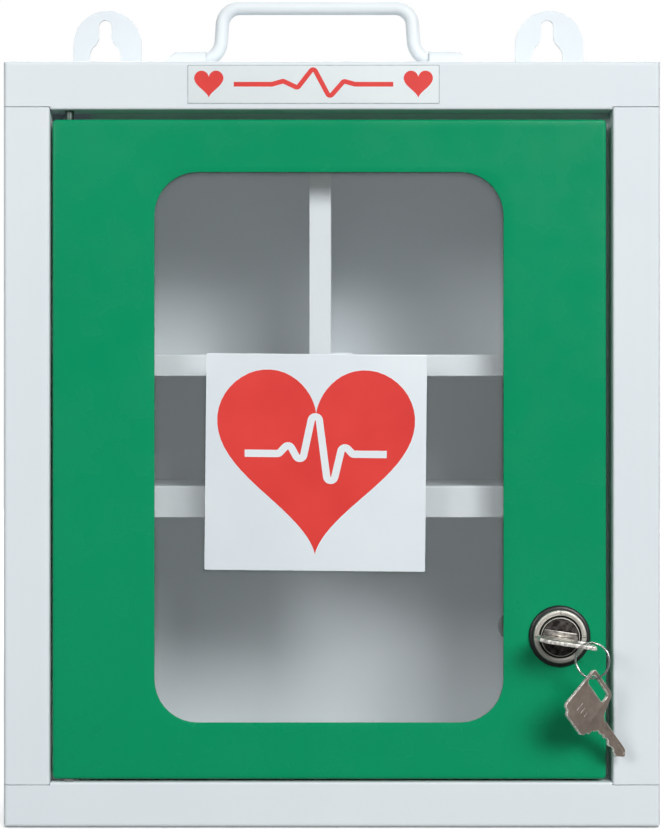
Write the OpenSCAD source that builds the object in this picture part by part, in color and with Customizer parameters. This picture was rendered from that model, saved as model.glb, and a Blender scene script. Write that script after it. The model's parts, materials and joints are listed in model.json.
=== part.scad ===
// Lockable medicine cabinet of folded sheet steel, hung on a wall by two tabs
// or carried by a folding handle. Millimetres.
// X points right, Y to the back and Z up. The origin is the centre of the base,
// so the front face lies at y = -body_d / 2. A "depth" below is counted
// backwards from that front face.

/* [Cabinet] */
// Width of the cabinet
body_w = 305; // [296:1:330]
// Height of the cabinet, without its wall tabs
body_h = 356; // [350:1:400]
// Depth of the cabinet
body_d = 114; // [105:1:150]
// Thickness of the sheet steel
sheet = 1; // [0.8:0.1:1.2]
// Height of the front rail above the door
top_rail_h = 22.6; // [21:0.1:25]
// Height of the front rail below the door
base_rail_h = 21.2; // [20:0.1:24]
// Width of the front stile on the hinge side
stile_w = 21.5; // [20:0.5:24]
// Width of the front stile on the lock side
lock_stile_w = 22; // [20:0.5:24]
// Outer radius of the folds along the front edges
fold_r = 2; // [1.5:0.1:2.2]
// Radius of the two bottom corners, seen from the front
base_corner_r = 2.3; // [1.5:0.1:2.3]

/* [Shelves] */
// Height of the upper shelf's top face
upper_shelf_z = 220.4; // [190:0.1:250]
// Height of the lower shelf's top face
lower_shelf_z = 158.1; // [130:0.1:175]
// Height of the upper shelf's folded front lip
upper_lip_h = 10.2; // [8:0.1:14]
// Height of the lower shelf's folded front lip
lower_lip_h = 14.9; // [8:0.1:16]
// Depth at which the shelves and the divider begin
shelf_front = 20; // [18:1:30]
// Left face of the divider's plate
divider_x = -1.3; // [-40:0.1:40]

/* [Door] */
// Gap between the door and the hinge stile
hinge_gap = 1.15; // [1.1:0.05:1.3]
// Gap between the door and the lock stile
lock_gap = 3; // [3:0.1:5]
// Gap above the door
top_gap = 4.4; // [4:0.1:6]
// Gap below the door
bottom_gap = 1.3; // [1.3:0.1:1.6]
// Depth of the door's folded edge flanges
door_t = 12; // [10:0.5:12]
// Width of the window opening
window_w = 162; // [140:1:170]
// Height of the window opening
window_h = 255.5; // [220:0.5:260]
// Corner radius of the window opening
window_r = 20; // [5:1:40]
// Distance of the lock from the door's free edge
lock_inset = 21.85; // [20:0.05:23]
// Height of the lock above the base
lock_z = 89; // [75:1:110]

/* [Keys] */
// Turn of the plug and its key, clockwise seen from the front
plug_turn = 8.5; // [0:0.5:15]
// Turn of the key ring about the vertical, its right side towards the front
ring_yaw = 28; // [20:1:30]
// Turn of the hanging key's plate about the vertical, the other way
spare_yaw = 33; // [30:1:36]
// Slope of the hanging key's blade below the horizontal
spare_slope = 49.3; // [48:0.1:51]

/* [Handle and tabs] */
// Centre of the handle, across the width
handle_x = -7; // [-20:1:20]
// Depth of the handle's pivot line
handle_depth = 40; // [36:1:60]
// Diameter of the handle's wire
handle_wire = 6.5; // [5:0.5:6.5]
// Distance between the middles of the handle's two legs, at their top
handle_span = 92; // [80:1:110]
// Lean of each leg, outwards towards its foot
leg_splay = 4; // [0:0.5:8]
// Height of the top bar above the pivot line
handle_rise = 25.6; // [22:0.1:32]
// Distance between the two wall tabs
tab_spacing = 230.7; // [200:0.1:240]
// Middle of the two wall tabs, across the width
tabs_x = -1.8; // [-3:0.1:3]
// Width of a wall tab
tab_w = 35.5; // [32:0.5:40]
// Height of a wall tab above the cabinet
tab_h = 46.7; // [44:0.1:55]

/* [Hidden] */
$fn = 64;
overrun = 1;        // how far a cutter reaches past the face that it opens
weld_gap = 0.2;     // play between a shelf's flange and the sheet it is welded to
seam = 0.3;         // seam between a rail and the stiles
rail_notch = 1.4;   // how far a rail reaches past the ends of the stiles

// Cabinet
half_w = body_w / 2;
front_y = -body_d / 2;
plate_front = body_d - sheet;           // depth of the back panel's front face
flange_front = plate_front - sheet;     // depth of the rear flanges' front face
flange_w = 12;
return_depth = 12;                      // how far the hinge stile folds back
stop_depth = 14;                        // depth of the door stop's rear face
stop_w = 7;
stop_left = -113.5;                     // left ends of the top and bottom stops
stile_z0 = base_rail_h - rail_notch + seam;
stile_z1 = body_h - top_rail_h + rail_notch - seam;
top_corner_r = sheet;

// Door, in the cabinet's frame
hinge_edge = -half_w + stile_w + hinge_gap;
lock_edge = half_w - lock_stile_w - lock_gap;
door_w = lock_edge - hinge_edge;
door_z0 = base_rail_h + bottom_gap;
door_z1 = body_h - top_rail_h - top_gap;
door_h = door_z1 - door_z0;
door_mid_x = (hinge_edge + lock_edge) / 2;
door_mid_z = (door_z0 + door_z1) / 2;
door_front = 0.5;
door_corner_r = 2;
door_fold_r = 1.5;
window_x = -1.35;                       // middle of the window opening
window_z = 176.65;
pane_t = 2;
pane_margin = 10;                       // how far the pane reaches past the opening
pane_front = door_front + sheet;
pane_w = window_w + 2 * pane_margin;
pane_h = window_h + 2 * pane_margin;

// Hinge pins
pin_r = 2;
pin_fit = 0.06;
pin_head_r = 3.2;
pin_head_h = 1.5;
pin_x = hinge_edge + 7.5;
pin_depth = door_front + 4.5;
washer_h = 1.2;

// Lock
lock_x = lock_edge - lock_inset;
barrel_r = 9.5;
barrel_end = 20.5;
flange_r = 12.35;
flange_face = -3.2;                     // front of the bright flange
flange_back = -1;
recess_r = 9.65;                        // recess that holds the plug's head
recess_floor = -1.6;
bore_r = 6.55;
plug_r = 6.5;
plug_head_r = 9.15;
plug_face = -3.7;
stub_r = 4;                             // flatted stub that turns the cam
stub_flat = 5.6;
cam_front = 21;
cam_t = 2;
cam_tip_front = 15;                     // the tip is cranked forward, behind the stop
cam_reach = 27.4;
cam_w = 14;
screw_r = 1.75;

// Key: the outline lies in [across, along], and "along" runs from the bow to the tip
key_t = 1.7;
key_drop = 0.8;                         // the key's plate lies below the plug's axis
key_shoulder = 22.4;                    // place along the key that meets the plug's face
key_slot_x0 = 7;
key_slot_x1 = 12.1;
key_slot_y0 = 1.3;
key_slot_y1 = 14.9;
key_slot_r = 1.6;
bow_edge = 14.2;
key_rim_x = (key_slot_x1 + bow_edge) / 2;
ring_major = 8.1;
ring_wire = 0.5;
ring_along = 8.8;                       // where the ring crosses the key, from the bow
ring_drop = 6.3;                        // ring's centre below the key's rim
rim_centre_x = lock_x + key_rim_x * cos(plug_turn) - key_drop * sin(plug_turn);
rim_centre_z = lock_z - key_rim_x * sin(plug_turn) - key_drop * cos(plug_turn);
ring_depth = plug_face - key_shoulder + ring_along;
ring_bottom_z = rim_centre_z - ring_drop - ring_major;
spare_hang_x = 10.6;                    // point of the hanging key that sits on the ring
spare_hang_y = 2.6;

// Handle and its brackets
handle_y = front_y + handle_depth;
wire_r = handle_wire / 2;
pivot_z = body_h + 7.2;
foot_bend_r = 10;
top_bend_r = 8.5;
bend_turn = 90 - leg_splay;
bend_rise = 1 - sin(leg_splay);         // height of a bend, per unit of its radius
bend_swell = 0.02;                      // bending thickens the wire by a hair
bend_overlap = 0.05;                    // a straight wire's reach into a bend
leg_len = (handle_rise - (top_bend_r + foot_bend_r) * bend_rise) / cos(leg_splay);
bar_half = handle_span / 2 - top_bend_r * cos(leg_splay);
leg_foot_x = handle_span / 2 + leg_len * sin(leg_splay);
foot_x = leg_foot_x + foot_bend_r * cos(leg_splay);
foot_end = handle_span / 2 + 20.5;
mouth_x = handle_span / 2 + 8;          // open end of a bracket, from the middle
bracket_t = 1.2;
bracket_len = 34;
bracket_w = 18;
hood_wall = 1.6;
hood_bore_r = wire_r + 0.1;
hood_flare_r = hood_bore_r + 1;         // the bore widens towards the wire's bend
hood_flare_len = 2.8;
hood_flat = 14;
hood_len = 24;
rivet_x = mouth_x + 29;
rivet_pitch = 10;
rivet_r = 1.6;

// --- Shapes that repeat ---------------------------------------------------

// Box between two corners, with depths counted from the front face
module slab(x0, x1, depth0, depth1, z0, z1) {
    translate([x0, front_y + depth0, z0])
        cube([x1 - x0, depth1 - depth0, z1 - z0]);
}

// Round bar along Y, from one depth to another
module y_bar(x, z, r, depth0, depth1) {
    translate([x, front_y + depth0, z]) rotate([-90, 0, 0])
        cylinder(r = r, h = depth1 - depth0);
}

// Cutter that rounds the edge along +Z of the solid in x > 0, y > 0
module edge_cutter(r, length) {
    difference() {
        translate([-overrun, -overrun, -overrun])
            cube([r + overrun, r + overrun, length + 2 * overrun]);
        translate([r, r, -2 * overrun])
            cylinder(r = r, h = length + 4 * overrun);
    }
}

// Rounds the front edge of the left side; mirror it for the right
module side_front_cutter() {
    translate([-half_w, front_y, 0]) edge_cutter(fold_r, body_h);
}

// Rounds the edge between the front and the bottom
module base_front_cutter() {
    translate([half_w, front_y, 0]) rotate([0, -90, 0])
        edge_cutter(fold_r, body_w);
}

// Rounds the edge between the left side and the bottom
module base_side_cutter() {
    translate([-half_w, body_d / 2, 0]) rotate([90, 0, 0])
        edge_cutter(base_corner_r, body_d);
}

// Runs its children as they are and mirrored to the other side
module both_sides() {
    children();
    mirror([1, 0, 0]) children();
}

// Turns its children upside down, top to bottom of the cabinet
module upside_down() {
    translate([0, 0, body_h]) mirror([0, 0, 1]) children();
}

// Rectangle about the origin with four round corners
module rounded_rect(w, h, r) {
    square([w - 2 * r, h], center = true);
    square([w, h - 2 * r], center = true);
    for (sx = [-1, 1], sz = [-1, 1])
        translate([sx * (w / 2 - r), sz * (h / 2 - r)]) circle(r);
}

// Plate that stands in the XZ plane: its 2D children are drawn as [x, z]
module upright(depth0, depth1) {
    translate([0, front_y + depth1, 0]) rotate([90, 0, 0])
        linear_extrude(depth1 - depth0) children();
}

// --- Cabinet --------------------------------------------------------------

// Side of a cabinet, drawn at the left: sheet, front stile, return and rear flange
module side_sheet(front_w, return_d) {
    inner = -half_w + front_w;
    difference() {
        union() {
            slab(-half_w, -half_w + sheet, sheet, plate_front, sheet, body_h - sheet);
            slab(-half_w, inner, 0, sheet, stile_z0, stile_z1);
            slab(inner - sheet, inner, 0, return_d, stile_z0, stile_z1);
            slab(-half_w, -half_w + flange_w, flange_front, plate_front,
                sheet, body_h - sheet);
        }
        side_front_cutter();
        base_side_cutter();
        translate([inner, front_y, 0]) mirror([1, 0, 0]) edge_cutter(sheet, body_h);
    }
}

module left_side_panel() {
    color("white") side_sheet(stile_w, return_depth);
}

module right_side_panel() {
    color("white") {
        mirror([1, 0, 0]) side_sheet(lock_stile_w, stop_depth);
        // door stop, folded inwards from the return
        slab(half_w - lock_stile_w - stop_w, half_w - lock_stile_w,
            stop_depth - sheet, stop_depth, base_rail_h + seam,
            body_h - top_rail_h - seam);
    }
}

// Bottom of the cabinet, and turned over its top: sheet, rail, return, stop, flange
module end_sheet(rail_h, corner_r, stop_h) {
    left = -half_w + stile_w + seam;
    right = half_w - lock_stile_w - seam;
    stop_right = half_w - lock_stile_w - stop_w - seam;
    difference() {
        union() {
            slab(-half_w, half_w, 0, plate_front, 0, sheet);
            slab(-half_w, half_w, 0, sheet, 0, rail_h - rail_notch);
            slab(left, right, 0, sheet, 0, rail_h);
            slab(left, right, 0, stop_depth, rail_h - sheet, rail_h);
            slab(stop_left, stop_right, stop_depth - sheet, stop_depth,
                rail_h - sheet, rail_h + stop_h);
            slab(-half_w + flange_w + sheet, half_w - flange_w - sheet,
                flange_front, plate_front, 0, flange_w);
        }
        base_front_cutter();
        both_sides() side_front_cutter();
        both_sides() translate([-half_w, body_d / 2, 0]) rotate([90, 0, 0])
            edge_cutter(corner_r, body_d);
        translate([half_w, front_y, rail_h]) rotate([0, -90, 0])
            mirror([1, 0, 0]) edge_cutter(sheet, body_w);
    }
}

// Rivet places of both brackets, on the cabinet's top
module at_rivets() {
    for (sx = [-1, 1], sy = [-1, 1])
        translate([handle_x + sx * rivet_x, handle_y + sy * rivet_pitch / 2, body_h])
            children();
}

module top_panel() {
    color("white") difference() {
        upside_down() end_sheet(top_rail_h, top_corner_r, 8);
        translate([pin_x, front_y + pin_depth, door_z1])
            cylinder(r = pin_r + pin_fit, h = top_rail_h - 2 * sheet);
        at_rivets() translate([0, 0, -sheet - overrun])
            cylinder(r = rivet_r + pin_fit, h = sheet + 2 * overrun);
    }
}

module bottom_panel() {
    color("white") difference() {
        end_sheet(base_rail_h, base_corner_r, 4.8);
        translate([pin_x, front_y + pin_depth, 2 * sheet])
            cylinder(r = pin_r + pin_fit, h = base_rail_h);
    }
}

// Outline of one wall tab about its own centre line. Its keyhole is a little aside.
module tab_outline() {
    keyhole_x = -1.1;
    keyhole_z = 22.4;
    keyhole_r = 8.2;
    slot_top = 41.8;
    slot_r = 3.3;
    difference() {
        union() {
            translate([-tab_w / 2, -overrun]) square([tab_w, tab_h - tab_w / 2 + overrun]);
            translate([0, tab_h - tab_w / 2]) circle(tab_w / 2);
        }
        translate([keyhole_x, keyhole_z]) {
            circle(keyhole_r);
            translate([-slot_r, 0]) square([2 * slot_r, slot_top - slot_r - keyhole_z]);
            translate([0, slot_top - slot_r - keyhole_z]) circle(slot_r);
            // shoulders that lead the screw's head into the slot
            polygon([[-5.2, 6], [5.2, 6], [slot_r, 9.4], [-slot_r, 9.4]]);
        }
    }
}

module back_panel() {
    color("white") upright(plate_front, body_d) {
        difference() {
            translate([-half_w, 0]) square([body_w, body_h]);
            for (side = [0, 1]) mirror([side, 0]) difference() {
                translate([-half_w - overrun, -overrun])
                    square(base_corner_r + overrun);
                translate([-half_w + base_corner_r, base_corner_r])
                    circle(base_corner_r);
            }
        }
        for (sx = [-1, 1])
            translate([tabs_x + sx * tab_spacing / 2, body_h]) tab_outline();
    }
}

// Shelf tray: top, front lip, side flanges and rear flange
module shelf(top_z, lip_h) {
    reach = half_w - sheet - weld_gap;
    rear = flange_front - weld_gap;
    color("whitesmoke") difference() {
        union() {
            slab(-reach, reach, shelf_front, rear, top_z - sheet, top_z);
            slab(-reach, reach, shelf_front, shelf_front + sheet,
                top_z - lip_h, top_z);
            slab(-reach, reach, rear - sheet, rear, top_z - lip_h, top_z);
            both_sides() slab(-reach, -reach + sheet, shelf_front, rear,
                top_z - lip_h, top_z);
        }
        translate([half_w, front_y + shelf_front, top_z]) rotate([0, -90, 0])
            mirror([1, 0, 0]) edge_cutter(sheet, body_w);
    }
}

module upper_shelf() { shelf(upper_shelf_z, upper_lip_h); }

module lower_shelf() { shelf(lower_shelf_z, lower_lip_h); }

module shelf_divider() {
    z0 = upper_shelf_z;
    z1 = body_h - sheet;
    rear = flange_front - weld_gap;
    right = divider_x + sheet;
    lip_w = 10.3;
    foot_w = 10;
    color("whitesmoke") difference() {
        union() {
            slab(divider_x, right, shelf_front, rear, z0, z1);
            slab(right - lip_w, right, shelf_front, shelf_front + sheet, z0, z1);
            for (z = [z0, z1 - sheet])
                slab(divider_x, right + foot_w, shelf_front + 4, rear, z, z + sheet);
        }
        translate([right, front_y + shelf_front, 0]) mirror([1, 0, 0])
            edge_cutter(sheet, body_h);
    }
}

// Pressed bracket, drawn for the right end: a hood over the handle's foot, on a plate
module handle_bracket() {
    hood_r = hood_bore_r + hood_wall;
    hood_z = pivot_z - body_h;
    difference() {
        union() {
            translate([mouth_x, -bracket_w / 2, 0])
                cube([bracket_len, bracket_w, bracket_t]);
            intersection() {
                union() {
                    translate([mouth_x, 0, hood_z]) rotate([0, 90, 0])
                        cylinder(r = hood_r, h = hood_len);
                    translate([mouth_x, -hood_r, 0])
                        cube([hood_len, 2 * hood_r, hood_z]);
                }
                // side view of the hood: a flat top, then a slope down to the plate
                translate([mouth_x, bracket_w / 2, 0]) rotate([90, 0, 0])
                    linear_extrude(bracket_w)
                        polygon([[0, 0], [hood_len, 0], [hood_flat, hood_z + hood_r],
                            [0, hood_z + hood_r]]);
            }
        }
        translate([mouth_x, 0, hood_z]) rotate([0, 90, 0]) {
            cylinder(r = hood_bore_r, h = foot_end - mouth_x + 0.6);
            translate([0, 0, -overrun]) cylinder(r = hood_flare_r, h = overrun);
            cylinder(r1 = hood_flare_r, r2 = hood_bore_r, h = hood_flare_len);
        }
        for (sy = [-1, 1])
            translate([rivet_x, sy * rivet_pitch / 2, -overrun])
                cylinder(r = rivet_r + pin_fit, h = bracket_t + 2 * overrun);
    }
}

module handle_bracket_right() {
    color("white") translate([handle_x, handle_y, body_h]) handle_bracket();
}

module handle_bracket_left() {
    color("white") translate([handle_x, handle_y, body_h]) mirror([1, 0, 0])
        handle_bracket();
}

// Each rivet is one turned solid: tail, shank and domed head
module bracket_rivets() {
    head_r = 3;
    head_h = 1.4;
    tail_r = 2.6;
    dome_r = (head_r * head_r + head_h * head_h) / (2 * head_h);
    color("gainsboro") at_rivets() {
        translate([0, 0, -sheet - 1]) cylinder(r = tail_r, h = 1);
        translate([0, 0, -sheet]) cylinder(r = rivet_r, h = sheet + bracket_t);
        translate([0, 0, bracket_t]) intersection() {
            cylinder(r = head_r, h = head_h);
            translate([0, 0, head_h - dome_r]) sphere(dome_r);
        }
    }
}

module header_label() {
    color("white") slab(-67, 50, -0.2, 0, 336.1, 354.1);
}

module lower_hinge_washer() {
    color("ivory") translate([pin_x, front_y + pin_depth, base_rail_h])
        difference() {
            cylinder(r = 3.5, h = washer_h);
            translate([0, 0, -overrun])
                cylinder(r = pin_r + pin_fit, h = washer_h + 2 * overrun);
        }
}

// --- Door -----------------------------------------------------------------

module door_panel() {
    color("seagreen") difference() {
        translate([door_mid_x, 0, door_mid_z]) difference() {
            upright(door_front, door_front + door_t)
                rounded_rect(door_w, door_h, door_corner_r);
            upright(door_front + sheet, door_front + door_t + overrun)
                rounded_rect(door_w - 2 * sheet, door_h - 2 * sheet,
                    door_corner_r - sheet);
        }
        upright(door_front - overrun, door_front + sheet + overrun) {
            translate([window_x, window_z]) rounded_rect(window_w, window_h, window_r);
            translate([lock_x, lock_z]) circle(barrel_r + 0.1);
        }
        // round folds along the four front edges
        translate([hinge_edge, front_y + door_front, 0])
            edge_cutter(door_fold_r, body_h);
        translate([lock_edge, front_y + door_front, 0]) mirror([1, 0, 0])
            edge_cutter(door_fold_r, body_h);
        translate([half_w, front_y + door_front, door_z0]) rotate([0, -90, 0])
            edge_cutter(door_fold_r, body_w);
        translate([half_w, front_y + door_front, door_z1]) rotate([0, -90, 0])
            mirror([1, 0, 0]) edge_cutter(door_fold_r, body_w);
        // holes of the two hinge pins
        translate([pin_x, front_y + pin_depth, 0])
            cylinder(r = pin_r + 0.05, h = body_h);
    }
}

module window_pane() {
    color("lightcyan", 0.35) translate([window_x, 0, window_z])
        upright(pane_front, pane_front + pane_t)
            rounded_rect(pane_w, pane_h, 8);
}

// Z clip in section, as [out from the pane's edge, depth behind the door's sheet]
module clip_section() {
    t = 1;
    translate([0.5, 0]) square([9, t]);
    translate([0.5, 0]) square([t, pane_t + t]);
    translate([-7, pane_t]) square([8.5, t]);
}

// One clip at the right edge of the pane, at its middle height
module pane_clip() {
    clip_len = 16;
    translate([pane_w / 2, front_y + pane_front, -clip_len / 2])
        linear_extrude(clip_len) clip_section();
}

module pane_clips() {
    side_z = [-60, 22, 104];             // the lock's nut sits below the lowest
    color("silver") translate([window_x, 0, window_z]) {
        for (side = [0, 1], z = side_z)
            mirror([side, 0, 0]) translate([0, 0, z]) pane_clip();
        for (side = [0, 1])
            mirror([0, 0, side]) translate([0, 0, (pane_h - pane_w) / 2])
                rotate([0, -90, 0]) pane_clip();
    }
}

module emblem_card() {
    card_w = 102.5;
    card_h = 100.7;
    card_t = 0.2;
    color("white") translate([-7.5, 0, 169.6])
        upright(pane_front - card_t, pane_front)
            rotate([0, 0, -0.55]) square([card_w, card_h], center = true);
}

module upper_hinge_pin() {
    top = door_z1 + 8.5;
    color("silver") translate([pin_x, front_y + pin_depth, 0]) {
        translate([0, 0, door_z1 - sheet]) cylinder(r = pin_r, h = top - door_z1 + sheet);
        translate([0, 0, door_z1 - sheet - pin_head_h])
            cylinder(r = pin_head_r, h = pin_head_h);
    }
}

module lower_hinge_pin() {
    bottom = base_rail_h - 3.2;
    color("silver") translate([pin_x, front_y + pin_depth, 0]) {
        translate([0, 0, bottom]) cylinder(r = pin_r, h = door_z0 + sheet - bottom);
        translate([0, 0, door_z0 + sheet]) cylinder(r = pin_head_r, h = pin_head_h);
    }
}

// --- Lock -----------------------------------------------------------------

// Turns its children with the plug, about the lock's axis
module turned_with_plug() {
    translate([lock_x, 0, lock_z]) rotate([0, plug_turn, 0]) children();
}

module lock_trim_ring() {
    color("dimgray") difference() {
        y_bar(lock_x, lock_z, 14.3, flange_back, door_front);
        y_bar(lock_x, lock_z, barrel_r + 0.1, flange_back - overrun,
            door_front + overrun);
    }
}

module lock_body() {
    color("silver") difference() {
        union() {
            y_bar(lock_x, lock_z, flange_r, flange_face, flange_back);
            y_bar(lock_x, lock_z, barrel_r, flange_back, barrel_end);
        }
        y_bar(lock_x, lock_z, recess_r, flange_face - overrun, recess_floor);
        y_bar(lock_x, lock_z, bore_r, flange_face - overrun, barrel_end + overrun);
    }
}

module lock_washer() {
    color("silver") difference() {
        y_bar(lock_x, lock_z, 12.5, pane_front, pane_front + 1);
        y_bar(lock_x, lock_z, barrel_r + 0.1, 0, pane_front + 1 + overrun);
    }
}

module lock_nut() {
    nut_flats = 24;
    nut_front = pane_front + 1;
    nut_t = 4;
    color("silver") difference() {
        translate([lock_x, front_y + nut_front, lock_z]) rotate([-90, 0, 0])
            cylinder(d = nut_flats / cos(30), h = nut_t, $fn = 6);
        y_bar(lock_x, lock_z, barrel_r + 0.05, nut_front - overrun,
            nut_front + nut_t + overrun);
    }
}

module lock_plug() {
    keyway_w = 6.5;
    keyway_h = 2;
    keyway_end = 17.5;
    stub_end = cam_front + cam_t;
    color("darkgray") turned_with_plug() difference() {
        union() {
            y_bar(0, 0, plug_head_r, plug_face, recess_floor - 0.15);
            y_bar(0, 0, plug_r, recess_floor - 0.15, cam_front);
            intersection() {
                y_bar(0, 0, stub_r, cam_front, stub_end);
                slab(-stub_r, stub_r, cam_front, stub_end,
                    -stub_flat / 2, stub_flat / 2);
            }
        }
        slab(-keyway_w / 2, keyway_w / 2, plug_face - overrun, keyway_end,
            -key_drop - keyway_h / 2, -key_drop + keyway_h / 2);
        y_bar(0, 0, screw_r, 18.8, stub_end + overrun);
    }
}

// Cam bar that points left at rest. It is cranked forward, so that its tip
// passes behind the door stop when the plug is turned.
module lock_cam() {
    crank_start = 11;
    crank_end = 17;
    rear = cam_front + cam_t;
    tip_rear = cam_tip_front + cam_t;
    color("silver") turned_with_plug() difference() {
        intersection() {
            // plan of the bar, as [x, z]
            upright(cam_tip_front, rear) {
                circle(cam_w / 2);
                translate([-cam_reach + cam_w / 2, -cam_w / 2])
                    square([cam_reach - cam_w / 2, cam_w]);
                translate([-cam_reach + cam_w / 2, 0]) circle(cam_w / 2);
            }
            // side view of the cranked bar, as [x, depth]
            translate([0, front_y, -cam_w]) linear_extrude(2 * cam_w)
                polygon([[cam_w, cam_front], [cam_w, rear], [-crank_start, rear],
                    [-crank_end, tip_rear], [-cam_reach - overrun, tip_rear],
                    [-cam_reach - overrun, cam_tip_front],
                    [-crank_end, cam_tip_front], [-crank_start, cam_front]]);
        }
        intersection() {
            y_bar(0, 0, stub_r + 0.05, cam_front - overrun, rear + overrun);
            slab(-cam_w, cam_w, cam_front - overrun, rear + overrun,
                -stub_flat / 2 - 0.05, stub_flat / 2 + 0.05);
        }
    }
}

module cam_screw() {
    head_h = 2.5;
    rear = cam_front + cam_t;
    color("silver") turned_with_plug() difference() {
        union() {
            y_bar(0, 0, screw_r - 0.05, 19, rear);
            y_bar(0, 0, 4.5, rear, rear + head_h);
        }
        for (turn = [0, 90]) rotate([0, turn, 0])
            slab(-2.4, 2.4, rear + head_h - 1.2, rear + head_h + overrun, -0.4, 0.4);
    }
}

// --- Keys and ring --------------------------------------------------------

// Key as seen from above its plate: bow at the origin's side, tip along +Y
module key_outline() {
    difference() {
        polygon([[-7.4, 0], [13.2, 0], [bow_edge, 1], [bow_edge, 14.6], [13, 16.4],
            [8.8, 18], [4.6, 19.6], [3, 21.6], [3, 40.8], [1, 43], [0, 43],
            [-3, 39.6], [-3, 37.2], [-2.1, 36], [-2.1, 34.4], [-2.8, 33.2],
            [-2.8, 31.8], [-1.7, 30.4], [-1.7, 29], [-2.5, 28], [-2, 26.6],
            [-3, 25], [-3, key_shoulder], [-4.8, 21.4], [-5.4, 20.3], [-7.8, 20],
            [-8.3, 18.6], [-10.2, 18], [-11.4, 16.6], [-11.4, 4.2], [-9.6, 3],
            [-9.4, 1.2], [-8.6, 0.2]]);
        translate([(key_slot_x0 + key_slot_x1) / 2, (key_slot_y0 + key_slot_y1) / 2])
            rounded_rect(key_slot_x1 - key_slot_x0, key_slot_y1 - key_slot_y0,
                key_slot_r);
    }
}

module key_plate() {
    linear_extrude(key_t, center = true) key_outline();
}

module key() {
    color("silver") turned_with_plug()
        translate([0, front_y + plug_face - key_shoulder, -key_drop]) key_plate();
}

module key_ring() {
    color("silver")
        translate([rim_centre_x, front_y + ring_depth, rim_centre_z - ring_drop])
            rotate([0, 0, -ring_yaw]) rotate([90, 0, 0]) rotate_extrude()
                translate([ring_major, 0]) circle(ring_wire, $fn = 24);
}

// Hangs on the lowest point of the ring, by the end of its slot
module spare_key() {
    color("silver") translate([rim_centre_x, front_y + ring_depth, ring_bottom_z])
        rotate([0, 0, spare_yaw]) rotate([90, 0, 0])
            rotate([0, 0, -90 - spare_slope]) mirror([1, 0, 0])
                translate([-spare_hang_x, -spare_hang_y, 0]) key_plate();
}

// --- Handle ---------------------------------------------------------------

// Bend of the handle's wire about the origin, from +Y towards +X
module wire_bend(r) {
    rotate([0, 0, 90 - bend_turn]) rotate_extrude(angle = bend_turn)
        translate([r, 0]) circle(wire_r + bend_swell);
}

// Straight wire along +X, which runs a little into the bends at its ends
module wire_straight(length) {
    translate([-bend_overlap, 0, 0]) rotate([0, 90, 0])
        cylinder(r = wire_r, h = length + 2 * bend_overlap);
}

// Right leg of the bail with its bends, in [x, y] about the pivot line
module bail_leg() {
    translate([bar_half, handle_rise - top_bend_r, 0]) wire_bend(top_bend_r);
    translate([leg_foot_x, foot_bend_r * bend_rise, 0])
        rotate([0, 0, 90 + leg_splay]) wire_straight(leg_len);
    translate([foot_x, foot_bend_r, 0]) rotate([0, 0, 180]) wire_bend(foot_bend_r);
    translate([foot_x, 0, 0]) wire_straight(foot_end - foot_x - bend_overlap);
}

module carry_handle() {
    color("white") translate([handle_x, handle_y, pivot_z]) rotate([90, 0, 0]) {
        translate([-bar_half, handle_rise, 0]) wire_straight(2 * bar_half);
        both_sides() bail_leg();
    }
}

// --- Drawing --------------------------------------------------------------

back_panel();
left_side_panel();
right_side_panel();
top_panel();
bottom_panel();
upper_shelf();
lower_shelf();
shelf_divider();
handle_bracket_left();
handle_bracket_right();
bracket_rivets();
header_label();
lower_hinge_washer();
door_panel();
window_pane();
pane_clips();
emblem_card();
upper_hinge_pin();
lower_hinge_pin();
lock_trim_ring();
lock_body();
lock_washer();
lock_nut();
lock_plug();
lock_cam();
cam_screw();
key();
key_ring();
spare_key();
carry_handle();
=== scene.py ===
# %% [markdown]
# # A lockable medicine cabinet in sheet steel
#
# This lesson dresses a cabinet whose construction is already packed as a fixed
# frame: every solid is at its real size and place. Blender adds what the eye
# needs: rounded folds, rolled edges, turned metal, print, paint and light.
#
# All lengths below are millimetres, in the frame's own directions: X to the
# right, Y to the back, Z up. A helper turns them into metres at the very end.

# %% Load the frame
import json

import bmesh
import bpy
import numpy as np
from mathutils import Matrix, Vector
from mathutils.geometry import tessellate_polygon


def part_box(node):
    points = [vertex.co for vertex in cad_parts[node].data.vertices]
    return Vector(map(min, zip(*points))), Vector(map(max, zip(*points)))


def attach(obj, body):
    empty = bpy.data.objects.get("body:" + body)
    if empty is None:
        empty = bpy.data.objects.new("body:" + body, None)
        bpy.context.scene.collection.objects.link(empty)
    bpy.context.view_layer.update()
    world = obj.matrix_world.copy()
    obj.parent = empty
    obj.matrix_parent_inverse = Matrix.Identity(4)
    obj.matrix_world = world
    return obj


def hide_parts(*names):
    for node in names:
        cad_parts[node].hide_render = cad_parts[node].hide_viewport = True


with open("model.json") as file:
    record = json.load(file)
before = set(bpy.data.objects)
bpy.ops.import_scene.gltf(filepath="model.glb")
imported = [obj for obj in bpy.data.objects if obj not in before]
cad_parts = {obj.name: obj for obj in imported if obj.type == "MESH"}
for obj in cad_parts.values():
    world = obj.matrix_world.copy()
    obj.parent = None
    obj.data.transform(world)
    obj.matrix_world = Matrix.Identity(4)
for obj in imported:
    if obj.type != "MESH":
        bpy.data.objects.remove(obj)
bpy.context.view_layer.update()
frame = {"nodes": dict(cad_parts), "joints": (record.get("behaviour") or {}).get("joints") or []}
MM = 0.001
joints = {joint["name"]: joint for joint in frame["joints"]}

# %% [markdown]
# ## Reading places from the frame
#
# A piece that is typed in by hand at a wrong place looks right from one side
# only. So every place here is asked of the frame: a node's corners, or a
# joint's pivot. The front of the cabinet is the plane that depths count from.

# %% Places taken from the frame


def corners(node):
    """Lowest and highest corner of a CAD node at rest, in millimetres."""
    low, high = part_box(node)
    return np.array(low) / MM, np.array(high) / MM


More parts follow.
